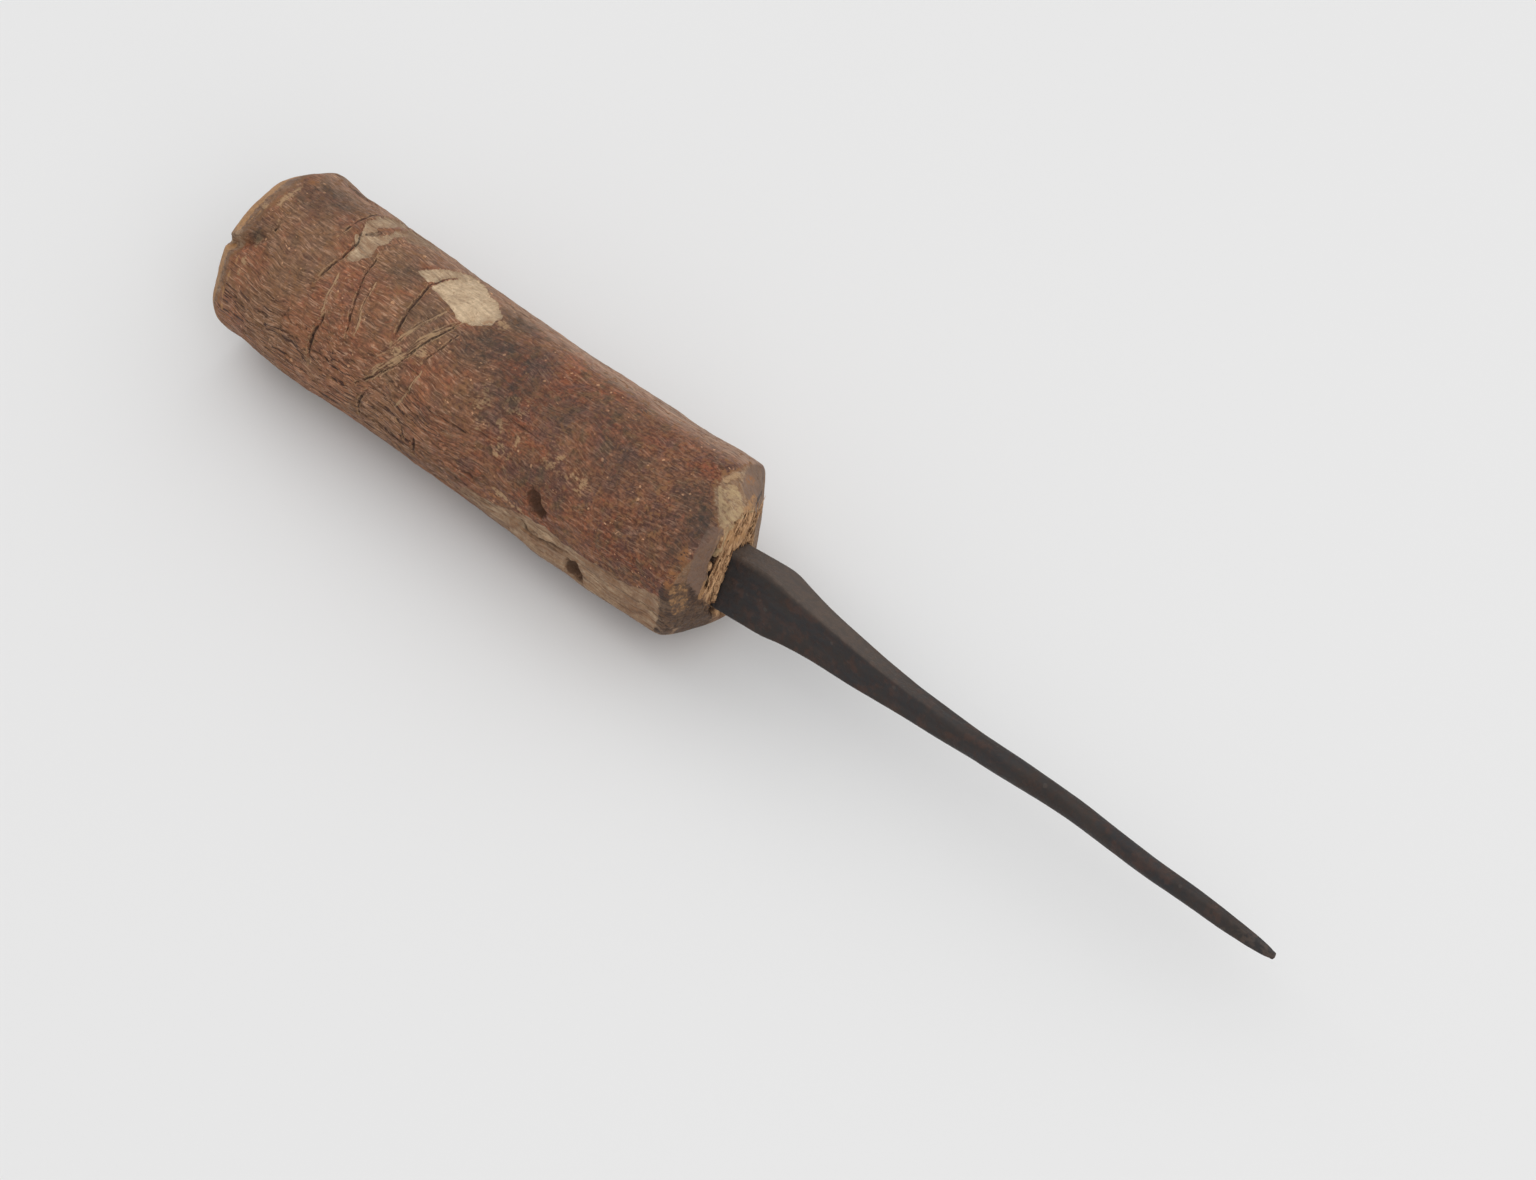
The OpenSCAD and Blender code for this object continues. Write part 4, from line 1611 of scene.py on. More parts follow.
    tan_stains_and_highlights: tuple[Stain, ...] = (
        Stain(((49.2, 80, 13.3), (48.7, 70, 13.3), (47.9, 61, 13.3)), 0.9, 0.55),
        # thin tan line along the inner ridge of the front cut: painted highlight
        Stain(((49.7, 144, 8.7), (49.6, 165, 8.3)), 0.55, 1.2),
        Stain(((49.7, 97, 11.4), (49.7, 88, 9.4), (49.8, 77, 9.2)), 1.5, 0.75),
        Stain(((48.4, 152, 13.2), (48.6, 162, 12.2), (48.7, 172, 11.7)), 1.9, 0.5),
        # thin tan lines along the ridges of the butt cuts: painted highlights
        Stain(((-46.4, 36, 15.2), (-44.9, 50, 15.4), (-44.9, 72, 15.4), (-44.4, 80, 15.4)), 0.32, 0.8),
        Stain(((-44.4, 80, 15.4), (-46.2, 100, 15.2), (-47.4, 116, 14.8)), 0.28, 0.7),
        Stain(((-45.0, 134, 15.2), (-45.8, 155, 15.2), (-46.4, 180, 15.2)), 0.28, 0.7),
        Stain(((-48.8, 60, 13.8), (-48.8, 90, 13.8), (-48.8, 118, 13.8)), 1.5, 0.9),
        Stain(((-48.8, 138, 13.6), (-48.8, 165, 13.2), (-48.8, 196, 13.8)), 1.6, 0.9),
    )
    dark_stains_and_shade: tuple[Stain, ...] = (
        Stain(((48.4, 61, 12.8), (46.2, 42, 12.6), (44.3, 22, 12.5)), 0.50, 0.9),
        Stain(((-30.4, 75, 15.1), (-29.7, 69, 15.1)), 0.7, 0.6),
        # dark on the underside of the front end: painted shade
        Stain(((48.2, 158, 13.4), (48.6, 180, 10.6), (49.0, 200, 9.0), (48.2, 222, 11.5)), 3.4, 1.0),
        Stain(((46.8, 160, 14.8), (46.9, 182, 13.9), (46.0, 204, 14.6)), 1.8, 0.8),
    )
    sound_turn: float = 86.0
    sound_radius: float = 8.0
    notch_half_width: float = 2.3
    notch_depth: float = 3.5
    checks: int = 170
    low_checks: float = 0.7
    low_check_places: Span = (-48.0, 8.0)
    low_check_turns: tuple[float, float, float] = (118.0, 176.0, 212.0)
    low_check_lengths: Span = (2.0, 14.0)
    check_places: Span = (-48.0, 40.0)
    check_turns: Span = (-80.0, 250.0)
    check_lengths: Span = (1.5, 7.0)
    check_widths: Span = (0.16, 0.32)
    check_depths: Span = (0.06, 0.22)
    check_drift: float = 1.6
    seed: int = 4

    @property
    def branch_r(self) -> float:
        """Radius of the branch with its bark."""
        return self.branch_dia / 2.0

    @property
    def axis_z(self) -> float:
        """Height of the handle's axis."""
        return self.branch_r - self.rest_depth

    @property
    def length(self) -> float:
        """Length of the handle."""
        return self.front_x - self.butt_x

    def to_arc(self, turn: Array) -> Array:
        """Millimetres round the bark for a turn in degrees."""
        return np.radians(turn) * self.branch_r

    def flat_line(self, line: Line) -> Line:
        """A line of places and turns, with the turns as millimetres round the bark."""
        return tuple((place, float(self.to_arc(turn))) for place, turn in line)

    def branch_radius(self, at: Array, turn: Array) -> Array:
        """Radius of the branch with the shaving off.

        Args:
            at: Shares of the handle's length.
            turn: Turns in degrees about the branch's own middle.

        Returns:
            One radius a place.
        """
        bark = self.branch_r * curve(self.branch_shares, at, 1)
        shaved = self.branch_r - self.shave_depth * ease(self.shave_start, self.shave_full, at)
        facing = np.cos(np.radians(turn - self.shave_turn))
        cut = shaved / np.maximum(facing, 0.1)
        reached = (at > self.shave_start) & (facing >= self.shave_reach)
        return np.where(reached, smooth_least(bark, cut, self.shave_round), bark)

    def branch_hit(self, origin: Array, way: Array) -> Array:
        """Distance along each ray to the branch.

        Args:
            origin: Where each ray starts.
            way: Each ray's direction.

        Returns:
            One distance a ray.
        """
        reach = np.full(way.shape[:-1], self.branch_r)
        away = math.radians(self.stray_turn)
        for _ in range(self.hit_steps):
            point = origin + way * reach[..., None]
            at = np.clip((point[..., 0] - self.butt_x) / self.length, 0.0, 1.0)
            stray = self.branch_r * curve(self.branch_shares, at, 2)
            y = point[..., 1] - stray * math.cos(away)
            z = point[..., 2] - self.axis_z - stray * math.sin(away)
            out = np.hypot(y, z)
            target = self.branch_radius(at, np.degrees(np.arctan2(z, y)))
            reach = np.clip(reach * target / np.maximum(out, 1e-6), 0.1, FAR)
        return reach

    def plane_hit(self, origin: Array, way: Array, point: Array, normal: Array) -> Array:
        """Distance along each ray to a plane, or far off where the ray never meets it.

        Args:
            origin: Where each ray starts.
            way: Each ray's direction.
            point: A point on the plane.
            normal: The plane's outward normal.

        Returns:
            One distance a ray.
        """
        slant = way @ normal
        gap = (point - origin) @ normal
        return np.where(slant > 1e-6, gap / np.maximum(slant, 1e-6), FAR).clip(0.0, FAR)

    def cut_hits(self, origin: Array, way: Array, cuts: Table, end_x: float, side: float) -> Array:
        """Distance along each ray to every knife cut over one end, cuts in the first axis.

        Args:
            origin: Where each ray starts.
            way: Each ray's direction.
            cuts: The end's knife cuts.
            end_x: Place of the end.
            side: 1 for the front end and -1 for the butt.

        Returns:
            One distance a cut and ray.
        """
        hits = []
        for turn, reach, run, _, _ in cuts:
            angle = math.radians(turn)
            out = np.array([0.0, math.cos(angle), math.sin(angle)])
            point = np.array([end_x, 0.0, self.axis_z]) + out * reach * self.branch_r
            normal = out * run + np.array([side, 0.0, 0.0])
            hits.append(self.plane_hit(origin, way, point, normal / np.linalg.norm(normal)))
        return np.stack(hits)

    def cap_tilts(self, depth: float, least: Array, steps: int, crowd: float) -> Array:
        """Tilts that walk the rays over an end at even steps.

        Args:
            depth: Distance from the rays' origin to the end face.
            least: Distance from the axis at which the walk ends, one a column.
            steps: Number of rings.
            crowd: Power that crowds the rings towards the bark.

        Returns:
            One tilt in radians for each ring and column.
        """
        share = np.linspace(0.0, 1.0, steps + 1)[1:, None] ** crowd
        walked = share * (depth + self.branch_r - least)
        out = self.branch_r - np.maximum(walked - depth, 0.0)
        return np.arctan2(np.minimum(walked, depth), out)

    def rays(self) -> tuple[Array, Array, Array]:
        """Rays from the handle's middle line that the surface is measured along.

        Returns:
            Each ring's origins, each ray's way, and the turn of each column.
        """
        turn = spaced(self.turn_spacing)[:-1]
        along = spaced(self.place_spacing)
        middle = self.blade.middle(np.zeros(1))[0]
        socket = self.blade.outline_radius(turn, self.socket_room)
        pole = np.full(len(turn), self.butt_pole)
        butt = self.cap_tilts(self.butt_origin - self.butt_x, pole, self.butt_rings, self.butt_crowd)
        butt = -butt[::-1]
        front = self.cap_tilts(self.front_x - self.front_origin, socket, self.front_rings, 1.0)
        tilt = np.concatenate([butt, np.zeros((len(along), len(turn))), front])
        start = np.concatenate(
            [np.full(len(butt), self.butt_origin), along, np.full(len(front), self.front_origin)]
        )
        shift = ease(self.shift_start, self.front_origin, start)
        origin = np.stack([start, middle[0] * shift, self.axis_z + (middle[1] - self.axis_z) * shift], -1)
        angle = np.radians(turn)
        way = np.stack([np.sin(tilt), np.cos(tilt) * np.cos(angle), np.cos(tilt) * np.sin(angle)], -1)
        return origin[:, None, :] + np.zeros_like(way), way, turn

    def surface(self) -> tuple[Array, dict[Paint, Array]]:
        """The handle's skin before its fine marks.

        Returns:
            The points by ring and column, and the paint that the cuts give them.
        """
        origin, way, _ = self.rays()
        bark = self.branch_hit(origin, way)
        front = self.cut_hits(origin, way, self.front_cuts, self.front_x, 1.0)
        butt = self.cut_hits(origin, way, self.butt_cuts, self.butt_x, -1.0)
        ahead = np.array([1.0, 0.0, 0.0])
        face = self.plane_hit(origin, way, ahead * self.front_x, ahead)
        back = self.plane_hit(origin, way, ahead * self.butt_x, -ahead)
        rest = self.plane_hit(origin, way, np.zeros(3), np.array([0.0, 0.0, -1.0]))
        reach = bark
        for hits, cuts in ((front, self.front_cuts), (butt, self.butt_cuts)):
            for hit, cut in zip(hits, cuts):
                reach = smooth_least(reach, hit, cut[4])
        for hit in (face, back, rest):
            reach = smooth_least(reach, hit, self.edge_round)
        square = np.hypot(way[..., 1], way[..., 2])
        under = np.clip((bark - reach) * square - self.bark_thick, 0.0, 4.0)
        tone = np.zeros_like(reach)
        for hits, cuts in ((front, self.front_cuts), (butt, self.butt_cuts)):
            for hit, cut in zip(hits, cuts):
                tone = np.maximum(tone, cut[3] * ease(*self.cut_edge, hit - reach))
        torn = ease(*self.face_edge, face - reach)
        tone = np.maximum(tone, self.butt_tone * ease(*self.face_edge, back - reach))
        return origin + way * reach[..., None], {Paint.UNDER: under, Paint.TONE: tone, Paint.TORN: torn}

    def normals(self, points: Array) -> Array:
        """Outward normal of each point of the skin.

        Args:
            points: The skin's points by ring and column.

        Returns:
            One unit vector a point.
        """
        down = np.gradient(points, axis=0)
        wrapped = np.concatenate([points[:, -1:], points, points[:, :1]], axis=1)
        around = (wrapped[:, 2:] - wrapped[:, :-2]) / 2.0
        normal = np.cross(around, down)
        return normal / np.maximum(np.linalg.norm(normal, axis=-1, keepdims=True), 1e-9)

    def stroke(self, flat: Array, mark: Mark, widen: float = 1.0) -> Array:
        """How deep in a mark each point lies.

        Args:
            flat: Places and millimetres round the bark.
            mark: The mark.
            widen: Share that distances are taken as, less than 1 for a wider mark.

        Returns:
            0 at the mark's edge to 1 on its line, less at both ends.
        """
        away, along = to_line(flat, self.flat_line(mark.line))
        ends = ease(0.0, self.mark_ends, along) * ease(1.0, 1.0 - self.mark_ends, along)
        width = mark.half_width * (0.45 + 0.55 * ends)
        return np.clip(1.0 - away * widen / width, 0.0, 1.0) * (0.3 + 0.7 * ends)

    def grain_checks(self) -> list[Mark]:
        """Short drying checks that run with the grain, most of them low on the near side.

        Returns:
            One mark a check.
        """
        draw = np.random.default_rng(self.seed)
        found = []
        for _ in range(self.checks):
            low = draw.random() < self.low_checks
            place = draw.uniform(*(self.low_check_places if low else self.check_places))
            turn = draw.triangular(*self.low_check_turns) if low else draw.uniform(*self.check_turns)
            length = draw.uniform(*(self.low_check_lengths if low else self.check_lengths))
            drift = draw.normal(0.0, self.check_drift, 3)
            line = tuple(
                (place + length * share, turn + float(move))
                for share, move in zip((0.0, 0.35, 0.7, 1.0), (0.0, *drift))
            )
            found.append(Mark(line, draw.uniform(*self.check_widths), draw.uniform(*self.check_depths)))
        return found

    def scraped(self, flat: Array) -> dict[Paint, Array]:
        """How far each point lies in a scrape, and its place along and across the stroke.

        Args:
            flat: Places and millimetres round the bark.

        Returns:
            The share, and both places in millimetres.
        """
        share = np.zeros(flat.shape[:-1])
        along = np.zeros_like(share)
        across = np.zeros_like(share)
        for mark in self.scrapes:
            line = np.asarray(self.flat_line(mark.line))
            step = (line[-1] - line[0]) / np.linalg.norm(line[-1] - line[0])
            here = self.stroke(flat, mark)
            deeper = here > share
            share = np.where(deeper, here, share)
            along = np.where(deeper, (flat - line[0]) @ step, along)
            across = np.where(deeper, (flat - line[0]) @ np.array([-step[1], step[0]]), across)
        return {Paint.SCRAPE: ease(0.0, 0.6, share), Paint.ALONG: along, Paint.ACROSS: across}

    def stained(self, points: Array) -> dict[Paint, Array]:
        """How strongly the cut ends are stained with each tint at each point, painted ridge highlights and
        painted shade among the stains.

        Args:
            points: The skin's points.

        Returns:
            The strength of each tint.
        """
        found = {}
        for tint, stains in (
            (Paint.GREY, self.grey_stains),
            (Paint.CREAM, self.cream_stains_and_highlights),
            (Paint.TAN, self.tan_stains_and_highlights),
            (Paint.DARK, self.dark_stains_and_shade),
        ):
            total = np.zeros(points.shape[:-1])
            for stain in stains:
                place, turn, out = np.asarray(stain.line).T
                angle = np.radians(turn)
                line = np.stack([place, out * np.cos(angle), self.axis_z + out * np.sin(angle)], -1)
                away, _ = to_line(points, tuple(map(tuple, line.tolist())))
                total = np.maximum(total, stain.strength * ease(1.2, 0.7, away / stain.half_width))
            found[tint] = total
        return found

    def patch_inside(self, flat: Array, patch: Patch, wander: Array) -> Array:
        """Distance inside a bare patch's wandering border, negative outside it.

        Args:
            flat: Places and millimetres round the bark.
            patch: The patch.
            wander: Noise that moves the border.

        Returns:
            One distance a point.
        """
        outline = self.flat_line(patch.outline)
        away, _ = to_line(flat, outline, closed=True)
        return np.where(inside(flat, outline), away, -away) + (wander - 0.5) * patch.ragged

    def spot_share(self, flat: Array, spots: tuple[Spot, ...]) -> Array:
        """How strongly each point is coloured by a list of spots.

        Args:
            flat: Places and millimetres round the bark.
            spots: The spots.

        Returns:
            One share a point.
        """
        total = np.zeros(flat.shape[:-1])
        for spot in spots:
            x = (flat[..., 0] - spot.place) / spot.along
            y = (flat[..., 1] - self.to_arc(spot.turn)) / spot.around
            total = np.maximum(total, spot.strength * ease(1.25, 0.2, np.hypot(x, y)))
        return total

    def notched(self, flat: Array, under: Array) -> Array:
        """Depth to carve for the notch between the two lobes of the butt, past what is cut there.

        Args:
            flat: Places and millimetres round the bark.
            under: Depth already cut at each point.

        Returns:
            One depth a point.
        """
        table = self.notch_line
        total = np.zeros_like(under)
        for a, b in zip(table[:-1], table[1:]):
            start = np.array([a[0], self.to_arc(a[1])])
            step = np.array([b[0], self.to_arc(b[1])]) - start
            share = np.clip(((flat - start) @ step) / (step @ step), 0.0, 1.0)
            away = np.linalg.norm(flat - start - share[..., None] * step, axis=-1)
            full = a[2] + (b[2] - a[2]) * share
            width = self.notch_half_width * (0.3 + 0.7 * full)
            round_part = np.maximum(1.0 - (away / width) ** 2, 0.0)
            total = np.maximum(total, self.notch_depth * full * round_part)
        return np.maximum(total - under, 0.0)

    def carved(self, points: Array, paint: dict[Paint, Array]) -> tuple[Array, dict[Paint, Array]]:
        """Cuts the fine marks into the skin.

        Args:
            points: The skin's points by ring and column.
            paint: The paint so far.

        Returns:
            The new points, and the paint with the marks in it.
        """
        noise = Noise(self.seed)
        turn = (np.degrees(np.arctan2(points[..., 2] - self.axis_z, points[..., 1])) + 90.0) % 360.0 - 90.0
        flat = np.stack([points[..., 0], self.to_arc(turn)], -1)
        drift = np.stack([noise.relief(points, layer) for layer in self.drifts], -1) - 0.5
        rub = ease(*self.rub_edge, noise.relief(points, self.rubbing))
        sink = self.roughness(noise, points, paint[Paint.UNDER], rub)
        sink += self.notched(flat, paint[Paint.UNDER])
        plain = {name: np.zeros_like(sink) for name in (Paint.CUT, Paint.CRACK_SHADE, Paint.PIT_SHADE)}
        steady = flat + drift * self.steady_drift
        skin = Skin(points, steady, flat + drift * self.wavy_drift, sink, {**paint, **plain})
        self.bare_patches(skin, noise)
        self.cut_marks(skin, noise)
        self.tear(skin, noise)
        skin.paint |= self.scraped(skin.wavy) | self.stained(points)
        for name, spots in ((Paint.SMUDGE, self.soot), (Paint.PALE, self.pale), (Paint.WORN, self.worn)):
            skin.paint[name] = self.spot_share(skin.wavy, spots)
        # grain strength: the bark's grain low on the near side, and on the far upper edge a painted sheen
        # on its streaks
        low_side = ease(*self.grained_turns, turn) * ease(*self.grained_places, points[..., 0])
        grain = np.maximum(low_side, ease(*self.far_sheen_turns, turn)) + 0.25 * (1.0 - rub)
        skin.paint[Paint.GRAIN_AND_SHEEN] = np.clip(grain, 0.0, 1.0)
        moved = points - self.normals(points) * skin.sink[..., None]
        low = np.array([self.butt_x, CAD_LOW.y / MM, 0.0])
        high = np.array([self.front_x, CAD_HIGH.y / MM, CAD_HIGH.z / MM])
        return np.clip(moved, low, high), skin.paint

    def roughness(self, noise: Noise, points: Array, under: Array, rub: Array) -> Array:
        """Depth of the bark's waves, ridges and pores, and of the uneven whittling where it is cut.

        Args:
            noise: The noise to use.
            points: The skin's points.
            under: How far each point is below the bark.
            rub: How little each point has been rubbed smooth.

        Returns:
            The depth at each point.
        """
        barked = ease(*self.bark_edge, under)
        sink = (noise.relief(points, self.waves) - self.waves.height / 2) * barked
        sink += noise.relief(points, self.ridges) * (0.4 + 0.6 * barked) * (0.5 + 0.5 * rub)
        sink += noise.relief(points, self.pores) * barked
        sink += noise.relief(points, self.whittling) * (1.0 - barked)
        return sink

    def bare_patches(self, skin: Skin, noise: Noise) -> None:
        """Takes the bark off the bare patches.

        Args:
            skin: The skin that is marked.
            noise: The noise to use.
        """
        wander = noise.relief(skin.points, self.wandering)
        skin.paint[Paint.BARE] = np.full_like(skin.sink, -self.patch_border)
        for patch in self.patches:
            within = self.patch_inside(skin.wavy, patch, wander)
            skin.sink += patch.depth * ease(*self.patch_edge, within)
            skin.raise_paint(Paint.BARE, np.clip(within, -self.patch_border, self.patch_border))
            skin.raise_paint(Paint.TONE, patch.tone * ease(*self.patch_tone_edge, within))

    def cut_marks(self, skin: Skin, noise: Noise) -> None:
        """Cuts the scores, scrapes, pits and cracks, each with an uneven edge.

        Args:
            skin: The skin that is marked.
            noise: The noise to use.
        """
        uneven = 0.55 + noise.relief(skin.points, self.unevenness)

        def worn(share: Array) -> Array:
            """The share of a mark that is left once its edge is uneven."""
            return np.clip(1.0 - (1.0 - share) * uneven, 0.0, 1.0) * (share > 0.0)

        for mark in self.scores:
            share = worn(self.stroke(skin.steady, mark, self.score_widen))
            skin.sink += mark.depth * share
            skin.raise_paint(Paint.CUT, share)
        for mark in self.scrapes:
            skin.sink += mark.depth * worn(self.stroke(skin.wavy, mark))
        for mark in self.pits:
            share = worn(self.stroke(skin.wavy, mark))
            deep = min(max(mark.depth - self.pit_floor, 0.0), 1.0)
            skin.sink += mark.depth * ease(0.0, 0.65, share)
            # the sides and cores of the pits are painted dark: painted shade
            skin.raise_paint(Paint.PIT_SHADE, deep * ease(0.0, 0.35, share))
            skin.raise_paint(Paint.CRACK_SHADE, 0.8 * deep * ease(0.5, 1.0, share))
        # cracks are painted dark, partly as grime and partly as painted shade
        for mark in (*self.cracks, *self.grain_checks()):
            share = worn(self.stroke(skin.wavy, mark))
            skin.sink += mark.depth * share
            skin.raise_paint(Paint.CRACK_SHADE, (1.0 if mark.depth > self.deep_crack else 0.7) * share)

    def tear(self, skin: Skin, noise: Noise) -> None:
        """Tears hollows between the fibres of the end grain, except in the sound wood above.

        Args:
            skin: The skin that is marked.
            noise: The noise to use.
        """
        torn = skin.paint[Paint.TORN]
        fibre = noise.relief(self.leaned(skin.points), self.tearing)
        sound = math.radians(self.sound_turn)
        across = skin.points[..., 1] - self.sound_radius * math.cos(sound)
        above = skin.points[..., 2] - self.axis_z - self.sound_radius * math.sin(sound)
        deep = ease(*self.tear_edge, fibre) * ease(*self.sound_edge, np.hypot(across, above))
        skin.sink += torn * (self.torn_depth * deep + self.torn_least)
        # the torn hollows are painted dark: painted shade
        skin.raise_paint(Paint.CRACK_SHADE, torn * deep)

    def leaned(self, points: Array) -> Array:
        """Points turned so that z runs along the blade's flat, as the torn strands do.

        Args:
            points: Points in millimetres.

        Returns:
            The turned points.
        """
        lean = math.radians(self.blade.lean)
        y = points[..., 1] * math.cos(lean) - points[..., 2] * math.sin(lean)
        z = points[..., 1] * math.sin(lean) + points[..., 2] * math.cos(lean)
        return np.stack([points[..., 0], y, z], -1)

    def socket_rings(self, turn: Array) -> Array:
        """Rings of the socket that the tang sits in, from the wood's face inwards.

        Args:
            turn: Turn of each column in degrees.

        Returns:
            The points by ring and column.
        """
        rings = []
        for share in self.socket_shares:
            width, thick, middle = self.blade.tang_size(np.array(share), self.socket_room)
            radius = self.blade.section_radius(turn, float(width) / 2, float(thick) / 2)
            depth = (1.0 - share) * self.blade.tang_len + (self.socket_gap if share == 0.0 else 0.0)
            angle = np.radians(turn)
            x = np.full(len(turn), self.front_x - depth)
            y = middle[0] + radius * np.cos(angle)
            rings.append(np.stack([x, y, middle[1] + radius * np.sin(angle)], -1))
        return np.stack(rings)

    def build(self) -> bpy.types.Object:
        """Builds the handle.

        Returns:
            The mesh object, which carries its paint.
        """
        _, _, turn = self.rays()
        points, paint = self.carved(*self.surface())
        socket = self.socket_rings(turn)
        rings = np.concatenate([points, socket])
        rows, columns = rings.shape[:2]
        butt_pole = np.array([[self.butt_x + self.butt_sunk, *rings[0, :, 1:].mean(axis=0)]])
        socket_pole = rings[-1].mean(axis=0)[None, :]
        every = np.concatenate([rings.reshape(-1, 3), butt_pole, socket_pole])
        faces = grid_faces(rows, columns)
        count = rows * columns
        last = count - columns
        for i in range(columns):
            following = (i + 1) % columns
            faces.append((count, following, i))
            faces.append((count + 1, last + i, last + following))
        piece = mesh_piece("branch_handle", every, faces)
        hidden = len(socket.reshape(-1, 3))
        for name, values in paint.items():
            # the hidden socket is painted fully dark: painted shade
            rest = np.full(hidden, 1.0 if name is Paint.CRACK_SHADE else 0.0)
            ends = np.array([values[0].mean(), rest[0]])
            carry(piece.data, name.value, np.concatenate([values.ravel(), rest, ends]))
        log.info("branch_handle: %d rings of %d points", rows, columns)
        return piece


class FibreTree(PieceTree):
    """Geometry nodes that lay bent, torn fibres over a face."""

    NAME = "Torn fibres"
    THICKNESSES = (0.6, 1.3)
    LENGTHS = (0.4, 1.3)

    def _random(self, low: object, high: object, offset: int) -> Wire:
        """A random number for each fibre, different for each offset."""
        feeds = {2: low, 3: high, 8: offset}
        return self.graph.out(self.graph.add("FunctionNodeRandomValue", feeds, data_type="FLOAT"), 1)

    def _fibre(self) -> Wire:
        """One fibre of unit length and thickness, tapered to both ends.

        Returns:
            The fibre.
        """
        graph = self.graph
        feeds = {
            "Resolution": self.value("Steps"),
            "Start": (0.0, 0.0, -0.5),
            "Middle": graph.joined(0.0, self.value("Bend"), 0.0),
            "End": (0.0, 0.0, 0.5),
        }
        line = self.node("GeometryNodeCurveQuadraticBezier", feeds)
        at = self.node("GeometryNodeSplineParameter")
        swell = graph.math("SQRT", graph.math("SINE", at * math.pi * 0.9 + 0.15))
        feeds = {"Resolution": self.value("Sides"), "Radius": 0.5}
        ring = self.node("GeometryNodeCurvePrimitiveCircle", feeds)
        feeds = {"Curve": line, "Profile Curve": ring, "Fill Caps": True, "Scale": swell}
        return self.store(self.node("GeometryNodeCurveToMesh", feeds), Paint.TORN.value, 1.0)

    def _shape(self) -> Wire:
        """Adds the nodes that lay the fibres over the face.

        Returns:
            The fibres.
        """
        feeds = {"Mesh": self.value("Start"), "Density": self.value("Density"), "Seed": self.value("Seed")}
        spots = self.node("GeometryNodeDistributePointsOnFaces", feeds)
        spread = self.value("Spread")
        tilt = self.value("Tilt")
        lean = self._random(spread * -1.0, spread, 1) - self.value("Lean")
        thick = self.value("Thickness") * self._random(*self.THICKNESSES, 3)
        long = self.value("Length") * self._random(*self.LENGTHS, 4)
        feeds = {
            "Points": spots,
            "Instance": self._fibre(),
            "Rotation": self.graph.joined(lean, self._random(tilt * -1.0, tilt, 2), 0.0),
            "Scale": self.graph.joined(thick, thick, long),
        }
        return self.node("GeometryNodeInstanceOnPoints", feeds)


@dataclass
class TornBand:
    """Torn fibres over the end grain beside the blade, inside the ridge of the front cuts."""

    blade: Blade
    sunk: float = 0.42
    clear: float = 0.35
    density: float = 1.3
    length: float = 3.2
    thickness: float = 0.18
    spread: float = 24.0
    tilt: float = 6.0
    bend: float = 1.2
    sides: int = 5
    steps: int = 6
    seed: int = 7
    columns: int = 40
    ridge: Table = (
        (58, 12.6), (75, 12.8), (90, 12.4), (100, 11.8), (106, 10.8), (120, 9.3), (144, 8.4), (165, 7.9),
        (172, 7.2),
    )

    def face(self) -> bpy.types.Object:
        """The band that the fibres lie on, between the blade and the ridge.

        Returns:
            The band's mesh object.
        """
        turn = np.linspace(self.ridge[0][0], self.ridge[-1][0], self.columns)
        angle = np.radians(turn)
        middle = self.blade.middle(np.zeros(1))[0]
        inner = self.blade.outline_radius(turn, self.clear)
        y = middle[0] + inner * np.cos(angle)
        z = middle[1] + inner * np.sin(angle)
        outer = np.interp(turn, *np.asarray(self.ridge).T) - self.clear
        x = np.full(len(turn), self.blade.front_x - self.sunk)
        near = np.stack([x, y, z], -1)
        far = np.stack([x, outer * np.cos(angle), self.blade.axis_z + outer * np.sin(angle)], -1)
        count = len(turn)
        faces = [(i, i + 1, count + i + 1, count + i) for i in range(count - 1)]
        return mesh_piece("socket_fibres", np.concatenate([near, far]), faces)

    def build(self, finish: bpy.types.Material) -> bpy.types.Object:
        """Builds the fibres.

        Args:
            finish: The wood's material.

        Returns:
            The finished piece.
        """
        values = {
            "Density": self.density / MM**2,
            "Length": self.length * MM,
            "Thickness": self.thickness * MM,
            "Lean": math.radians(self.blade.lean),
            "Spread": math.radians(self.spread),
            "Tilt": math.radians(self.tilt),
            "Bend": self.bend,
            "Sides": self.sides,
            "Steps": self.steps,
            "Seed": self.seed,
            "Finish": finish,
        }
        return FibreTree(values).run(self.face())


@dataclass(frozen=True)
class Lamp:
    """A square softbox: its place in metres, its width and its power in watts."""

    name: str
    place: tuple[float, float, float]
    width: float
    power: float


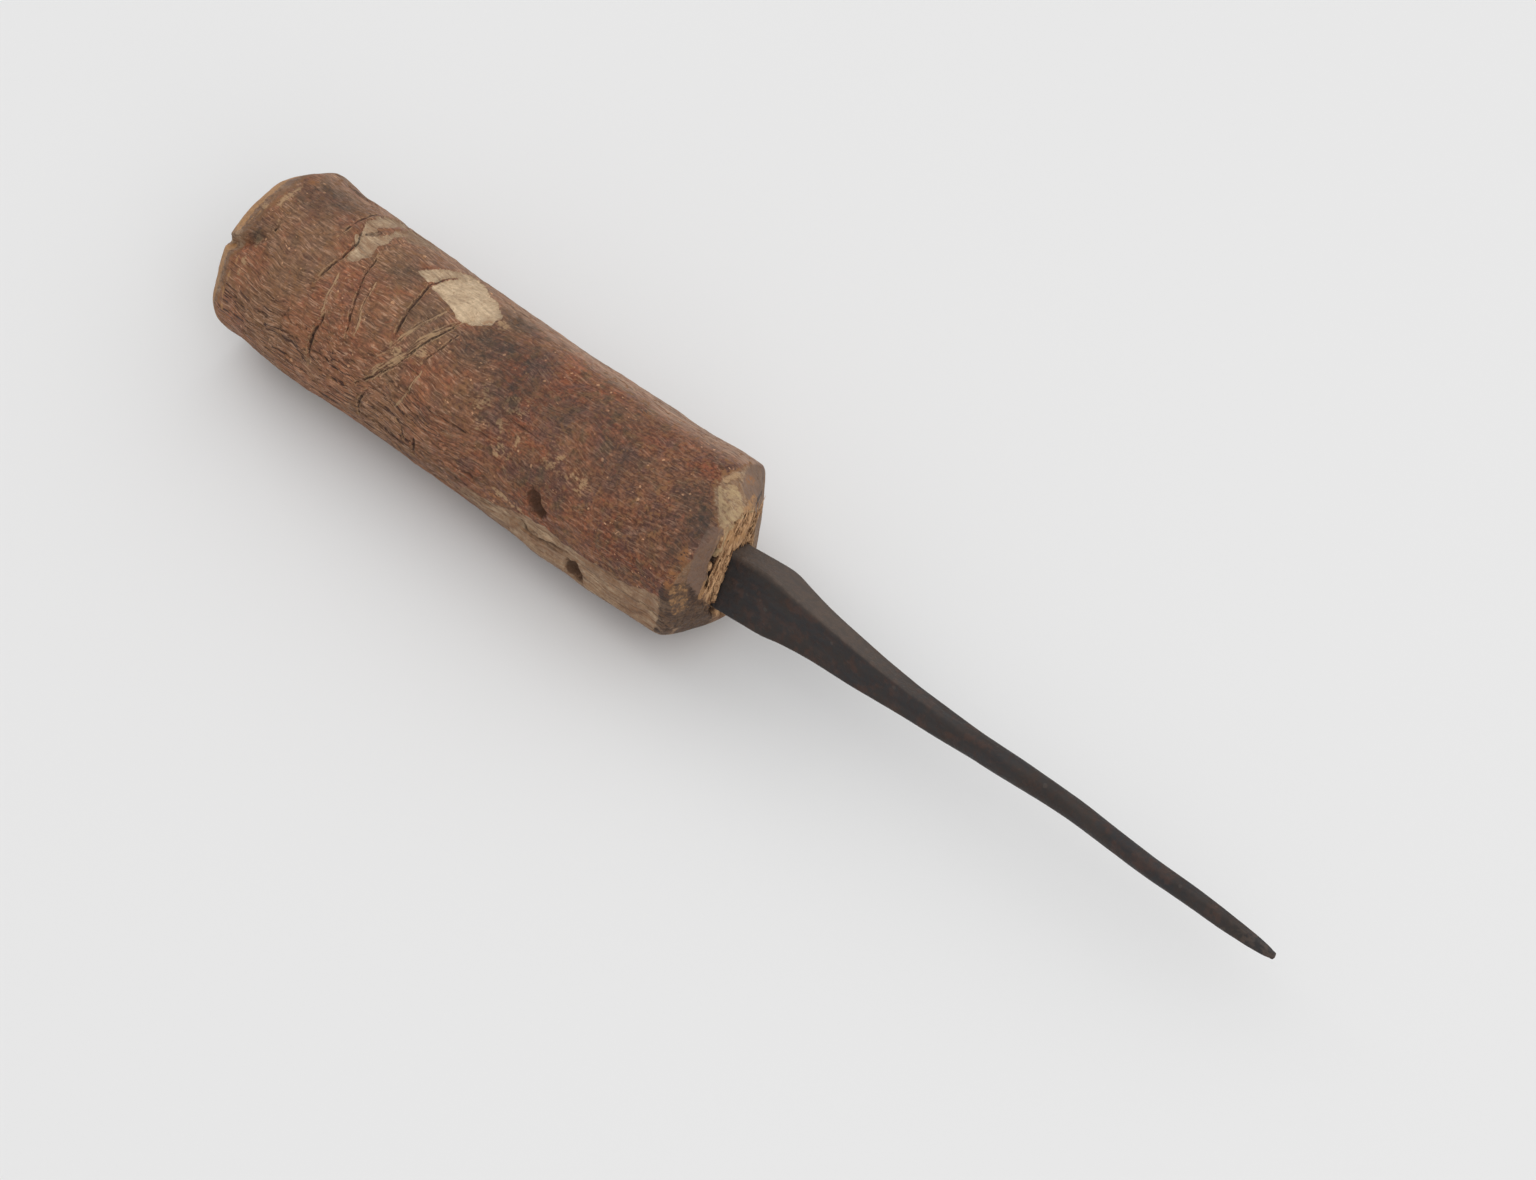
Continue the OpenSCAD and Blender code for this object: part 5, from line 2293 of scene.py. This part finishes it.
@dataclass
class Studio:
    """A sheet of pale paper, three softboxes, soft light all round and the photograph's camera."""

    camera_place: tuple[float, float, float] = (303.55, -284.3, 535.4)
    elevation: float = 54.0
    azimuth: float = 41.08
    lens: float = 100.0
    sensor: float = 36.0
    lamps: tuple[Lamp, ...] = (
        Lamp("overhead_softbox", (0.3, 0.27, 1.0), 2.0, 6.4),
        Lamp("front_softbox", (1.2, -0.72, 1.05), 1.3, 6.0),
        Lamp("butt_softbox", (-1.2, 0.2, 0.8), 1.0, 4.1),
    )
    aim: tuple[float, float, float] = (0.05, 0.0, 0.0)
    sky: float = 0.62
    backdrop: float = 0.77
    paper_half: float = 3000.0
    paper_z: float = -0.02

    def camera(self) -> None:
        """Adds the camera."""
        data = bpy.data.cameras.new("camera")
        data.lens = self.lens
        data.sensor_width = self.sensor
        data.sensor_fit = "HORIZONTAL"
        data.clip_start = 0.01
        camera = bpy.data.objects.new("camera", data)
        camera.location = [value * MM for value in self.camera_place]
        camera.rotation_euler = (math.radians(90.0 - self.elevation), 0.0, math.radians(self.azimuth))
        bpy.context.scene.collection.objects.link(camera)
        bpy.context.scene.camera = camera

    def floor(self) -> None:
        """Adds the paper."""
        sides = ((-1, -1), (1, -1), (1, 1), (-1, 1))
        corners = [(x * self.paper_half, y * self.paper_half, self.paper_z) for x, y in sides]
        floor = mesh_piece("paper_floor", np.array(corners), [(0, 1, 2, 3)])
        floor.data.materials.append(FloorFinish().material())

    def light(self, lamp: Lamp) -> None:
        """Adds one softbox, aimed at the middle of the tool.

        Args:
            lamp: The softbox's values.
        """
        data = bpy.data.lights.new(lamp.name, "AREA")
        data.shape = "SQUARE"
        data.size = lamp.width
        data.energy = lamp.power
        softbox = bpy.data.objects.new(lamp.name, data)
        softbox.location = lamp.place
        away = Vector(lamp.place) - Vector(self.aim)
        softbox.rotation_euler = away.to_track_quat("Z", "Y").to_euler()
        bpy.context.scene.collection.objects.link(softbox)

    def world(self) -> None:
        """Sets the soft light from all round, and the pale backdrop that the camera sees."""
        world = bpy.data.worlds.new("room")
        world.use_nodes = True
        bpy.context.scene.world = world
        graph = Graph(world.node_tree)
        background = world.node_tree.nodes["Background"]
        rays = graph.add("ShaderNodeLightPath")
        seen = graph.out(rays, "Is Camera Ray") + graph.out(rays, "Is Glossy Ray")
        seen = graph.math("MINIMUM", seen + graph.out(rays, "Is Transmission Ray"), 1.0)
        graph.feed(background.inputs["Strength"], seen * (self.backdrop - self.sky) + self.sky)
        background.inputs["Color"].default_value = (1.0, 1.0, 1.0, 1.0)

    def build(self) -> None:
        """Builds the whole studio."""
        bpy.context.scene.view_settings.view_transform = "Standard"
        self.camera()
        self.floor()
        for lamp in self.lamps:
            self.light(lamp)
        self.world()


def main() -> None:
    """Builds the tool and the studio."""
    logging.basicConfig(level=logging.INFO, format="%(message)s")
    handle_low, handle_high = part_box("handle")
    front_x = handle_high.x / MM
    blade = Blade(front_x=front_x, tip_x=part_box("blade")[1].x / MM)
    effects = Effects()
    bark = BarkFinish(lean=blade.lean).material(effects)
    iron = IronFinish().material(effects)
    wood = Handle(blade=blade, butt_x=handle_low.x / MM, front_x=front_x).build()
    wood.data.materials.append(bark)
    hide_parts("handle")
    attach(wood, "root")
    fibres = TornBand(blade).build(bark)
    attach(fibres, "root")
    forging = blade.build(iron)
    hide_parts("blade")
    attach(forging, "root")
    Studio().build()


if __name__ == "__main__":
    main()
